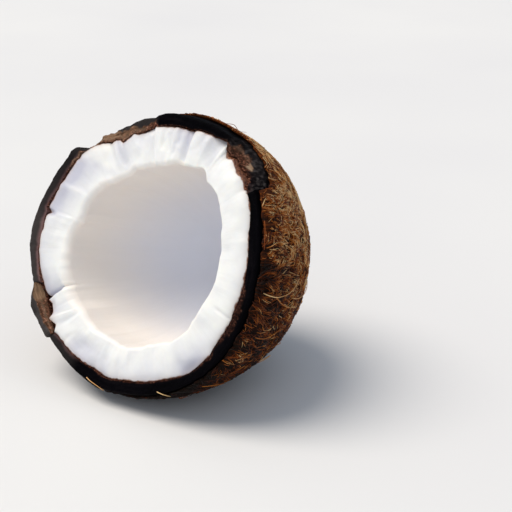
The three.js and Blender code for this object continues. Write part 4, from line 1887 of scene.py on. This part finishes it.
@dataclass(frozen=True)
class Strand:
    """One long strand: (angle, mm behind the cut, mm above the bed) along it."""

    knots: tuple[Triple, ...]
    radius: float
    tone: float

    def course(self, steps: int) -> Array:
        """The knots joined by a smooth curve: a Catmull-Rom spline.

        Args:
            steps: number of points.

        Returns:
            Array (steps, 3) of angle, mm behind and mm above.
        """
        knots = np.array(self.knots)
        knots[:, 0] = knots[0, 0] + turn_from(knots[:, 0], knots[0, 0])
        padded = np.concatenate([2 * knots[:1] - knots[1:2], knots, 2 * knots[-1:] - knots[-2:-1]])
        place = np.linspace(0.0, len(knots) - 1.001, steps)
        piece, part = place.astype(int), (place % 1.0)[:, None]
        a, b, c, d = (padded[piece + i] for i in range(4))
        bend = (2 * a - 5 * b + 4 * c - d) * part**2 + (3 * b - a - 3 * c + d) * part**3
        return 0.5 * (2 * b + (c - a) * part + bend)


@dataclass
class LongStrands:
    """Long single strands that lie across the coat in loose curls."""

    shape: NutShape
    fibres: CoirFibres
    count: int = 70
    steps: int = 26
    sides: int = 4
    seed: int = 67
    # the strewn ones
    start_height: Pair = (0.05, 0.98)  # over the cut, as a share of the radius
    length: Pair = (9.0, 26.0)
    heading_spread: float = 38.0  # degrees
    curl: Pair = (1.2, 2.2)  # radians, and half turns in a length
    lift: Pair = (0.3, 1.2)
    bobbing: float = 3.4  # half turns of its rise and fall in a length
    front_lift: float = 0.2  # share of the height that is left at the bed's front
    thickness: Pair = (0.09, 0.14)  # radius, mm
    thinned: float = 0.5  # share of it that is gone at the end
    tone: Pair = (0.45, 0.8)
    least_past: float = 0.2  # mm behind the bed's front
    lowest: float = 0.5  # degrees of latitude
    placed: tuple[Strand, ...] = tuple(Strand(*row) for row in (
        (((356.2, 4, 0.6), (355.6, 7, 1.2), (355.2, 11, 1.4), (355.6, 16, 1.3), (356.8, 20, 1.5),
         (358.8, 23, 1.7), (1, 25.5, 1.5), (2.2, 28.5, 1)), 0.17, 0.95),
        (((354, 26, 1), (353.6, 32, 1.3), (354.6, 37, 1.6), (357.2, 41, 1.6), (0.4, 44, 1)), 0.17,
         0.9),
        (((355.4, 11.5, 0.9), (353.4, 14, 1.3), (351.6, 19, 1.4), (350.3, 25, 1.2),
         (349.6, 30, 0.8)), 0.14, 0.8),
        (((23.5, 1, 0.5), (20.4, 0.9, 0.7), (16.4, 0.9, 0.7), (12.5, 1.2, 0.5)), 0.13, 0.6),
        (((296.3, -0.5, -1.7), (297.4, -0.5, -1.1), (298.6, -0.1, -0.4), (299.8, 2.2, 0.6)), 0.2, 1),
        (((259.6, -0.4, -1.9), (262, -0.5, -1.5), (265.5, -0.4, -1.1), (269.8, -0.3, -0.4)), 0.18,
         0.9),
        (((327, 44, 1.2), (330, 38, 1.5), (331.4, 32, 1.2), (331.6, 25, 0.8)), 0.13, 0.75),
        (((322, 32, 0.9), (323.5, 36, 1.8), (321.5, 39.5, 2.2), (318.8, 38, 1.8), (318.5, 34, 0.9)),
         0.15, 0.85),
        (((339, 8, 0.6), (338.5, 14, 1.2), (339.5, 20, 1.1), (341, 26, 0.7)), 0.14, 0.75),
        (((312, 5, 0.5), (314, 9, 1.1), (313.5, 14, 1.2), (311.5, 19, 0.8)), 0.14, 0.7),
    ))

    def random(self, draw: np.random.Generator) -> tuple[Array, Array, Array]:
        """Strands strewn over the coat: each heading drifts by a slow wave along its way.

        Args:
            draw: source of random numbers.

        Returns:
            Angle, latitude and height above the bed, arrays (strands, steps).
        """
        height = draw.uniform(*self.start_height, self.count)
        start = on_dome(draw.uniform(0.0, 2.0 * math.pi, self.count), height)
        share = np.linspace(0.0, 1.0, self.steps)
        curl, half_turns = self.curl
        curl = draw.normal(0.0, curl, self.count)[:, None]
        phase = draw.uniform(0.0, 2.0 * math.pi, self.count)[:, None]
        course = np.radians(draw.normal(0.0, self.heading_spread, self.count))[:, None]
        course = course + curl * np.sin(half_turns * math.pi * share + phase)
        step = (draw.uniform(*self.length, self.count) / self.steps)[:, None]
        north = np.cumsum(np.cos(course) * step, axis=1)
        east = np.cumsum(np.sin(course) * step, axis=1)
        angle, latitude = self.fibres.walk(start, north, east)
        lift = draw.uniform(*self.lift, self.count)[:, None]
        bob = 0.5 + 0.5 * np.sin(self.bobbing * math.pi * share + phase)
        return angle, latitude, lift * bob

    def make(self) -> Object:
        """Builds the placed strands and the strewn ones as one piece."""
        draw, bed, shape = np.random.default_rng(self.seed), self.fibres.bed, self.shape
        courses = np.stack([strand.course(self.steps) for strand in self.placed])
        angle, behind, above = np.moveaxis(courses, -1, 0)
        placed = bed.from_face(angle, shape.latitude_at(bed.underside, behind), above)
        # where a strand hangs over the rim, it stands forward of the cut
        placed = placed + np.minimum(behind, 0.0)[..., None] * shape.into(1.0)
        angle, latitude, above = self.random(draw)
        past, cover = bed.cover(angle, shape.behind_at(bed.underside, latitude))
        kept = (past > self.least_past).all(axis=1) & (latitude > self.lowest).all(axis=1)
        above = above * (self.front_lift + (1.0 - self.front_lift) * cover)
        strewn = bed.from_face(angle, latitude, above)[kept]
        number, share = len(strewn), np.linspace(0.0, 1.0, self.steps)
        radius = [strand.radius for strand in self.placed]
        radius = np.concatenate([radius, draw.uniform(*self.thickness, number)])[:, None]
        radius = radius * (1.0 - self.thinned * share**3)
        tone = [strand.tone for strand in self.placed]
        tone = np.concatenate([tone, draw.uniform(*self.tone, number)])[:, None] + 0.0 * share
        path = np.concatenate([placed, strewn])
        path[..., 2] = np.maximum(path[..., 2], radius + self.fibres.floor_gap)
        surface = Surface.tubes(path, radius, self.sides, {"tone": tone})
        return make_piece("long_coir_strands", surface, CoirFinish())


# ---- Studio ----


def facing(towards: Triple) -> Array:
    """The axes of a camera or a lamp that looks back at the nut.

    Args:
        towards: direction from the nut to it.

    Returns:
        Its right, up and backward directions, as rows.
    """
    back = np.array(towards) / np.linalg.norm(towards)
    right = np.cross([0.0, 0.0, 1.0], back)
    right = right / np.linalg.norm(right)
    return np.array([right, np.cross(back, right), back])


def stand(thing: Object, axes: Array, place: Array) -> None:
    """Turns an object and moves it to its place.

    Args:
        thing: the object.
        axes: its right, up and backward directions, as rows.
        place: metres.
    """
    matrix = np.eye(4)
    matrix[:3, :3], matrix[:3, 3] = axes.T, place
    thing.matrix_world = Matrix(matrix.tolist())


@dataclass
class Studio:
    """A plain pale floor, soft light from above and the front, and the camera."""

    shape: NutShape
    azimuth: float = 36.9
    elevation: float = 20.0
    distance: float = 431.97
    aim_right: float = 41.9
    aim_down: float = 1.96
    lens: float = 85.0
    sensor: float = 36.0
    floor_size: float = 8000.0
    sky: str = "d9e4f3"
    sky_strength: float = 0.55

    def camera(self) -> None:
        """Makes the camera, aimed a little to one side of the middle of the cut."""
        turn, rise = math.radians(self.azimuth), math.radians(self.elevation)
        towards = [math.sin(turn) * math.cos(rise), -math.cos(turn) * math.cos(rise), math.sin(rise)]
        axes = facing(towards)
        offset = np.array([self.aim_right, -self.aim_down, self.distance]) @ axes
        data = bpy.data.cameras.new("camera")
        data.lens, data.sensor_width = self.lens, self.sensor
        camera = put_in_scene("camera", data)
        stand(camera, axes, (np.array(self.shape.centre) + offset) * METRES_PER_MM)
        bpy.context.scene.camera = camera

    def lamp(self, name: str, towards: Triple, spread: float, power: float,
             colour: str) -> None:
        """Adds a distant light, soft because it fills a wide angle.

        Args:
            name: of the light.
            towards: direction from the nut to the light.
            spread: the angle that it fills, degrees.
            power: watts per square metre.
            colour: sRGB hex.
        """
        data = bpy.data.lights.new(name, "SUN")
        data.angle, data.energy = math.radians(spread), power
        data.color = linear_colour(colour)[:3]
        stand(put_in_scene(name, data), facing(towards), np.zeros(3))

    def floor(self) -> None:
        """Lays the floor as a single sheet."""
        half = self.floor_size / 2.0 * METRES_PER_MM
        mesh = bpy.data.meshes.new("floor")
        corners = [(-half, -half, 0.0), (half, -half, 0.0), (half, half, 0.0), (-half, half, 0.0)]
        mesh.from_pydata(corners, [], [(0, 1, 2, 3)])
        mesh.materials.append(PaintedFloorFinish().material())
        floor = put_in_scene("floor", mesh)

    def make(self) -> None:
        """Sets up the floor, the lights, the sky and the camera."""
        self.floor()
        self.lamp("softbox_overhead", (-0.42, -0.3, 1.0), 40.0, 2.6, "fff6ea")
        self.lamp("softbox_front", (0.6, -1.0, 0.4), 60.0, 0.4, "fbf6f4")
        world = bpy.data.worlds.new("pale_room")
        world.use_nodes = True
        background = world.node_tree.nodes["Background"]
        background.inputs["Color"].default_value = linear_colour(self.sky)
        background.inputs["Strength"].default_value = self.sky_strength
        bpy.context.scene.world = world
        bpy.context.scene.view_settings.view_transform = "Standard"
        self.camera()


def main() -> None:
    """Builds the half coconut and the studio."""
    logging.basicConfig(level=logging.INFO, format="%(name)s: %(message)s")
    shape = NutShape()
    Flesh(shape).make()
    Shell(shape).make()
    LooseChip(shape).make()
    bed = CoirBed(shape)
    bed.make()
    fibres = CoirFibres(shape, bed)
    fibres.make()
    LongStrands(shape, fibres).make()
    Studio(shape).make()


if __name__ == "__main__":
    main()
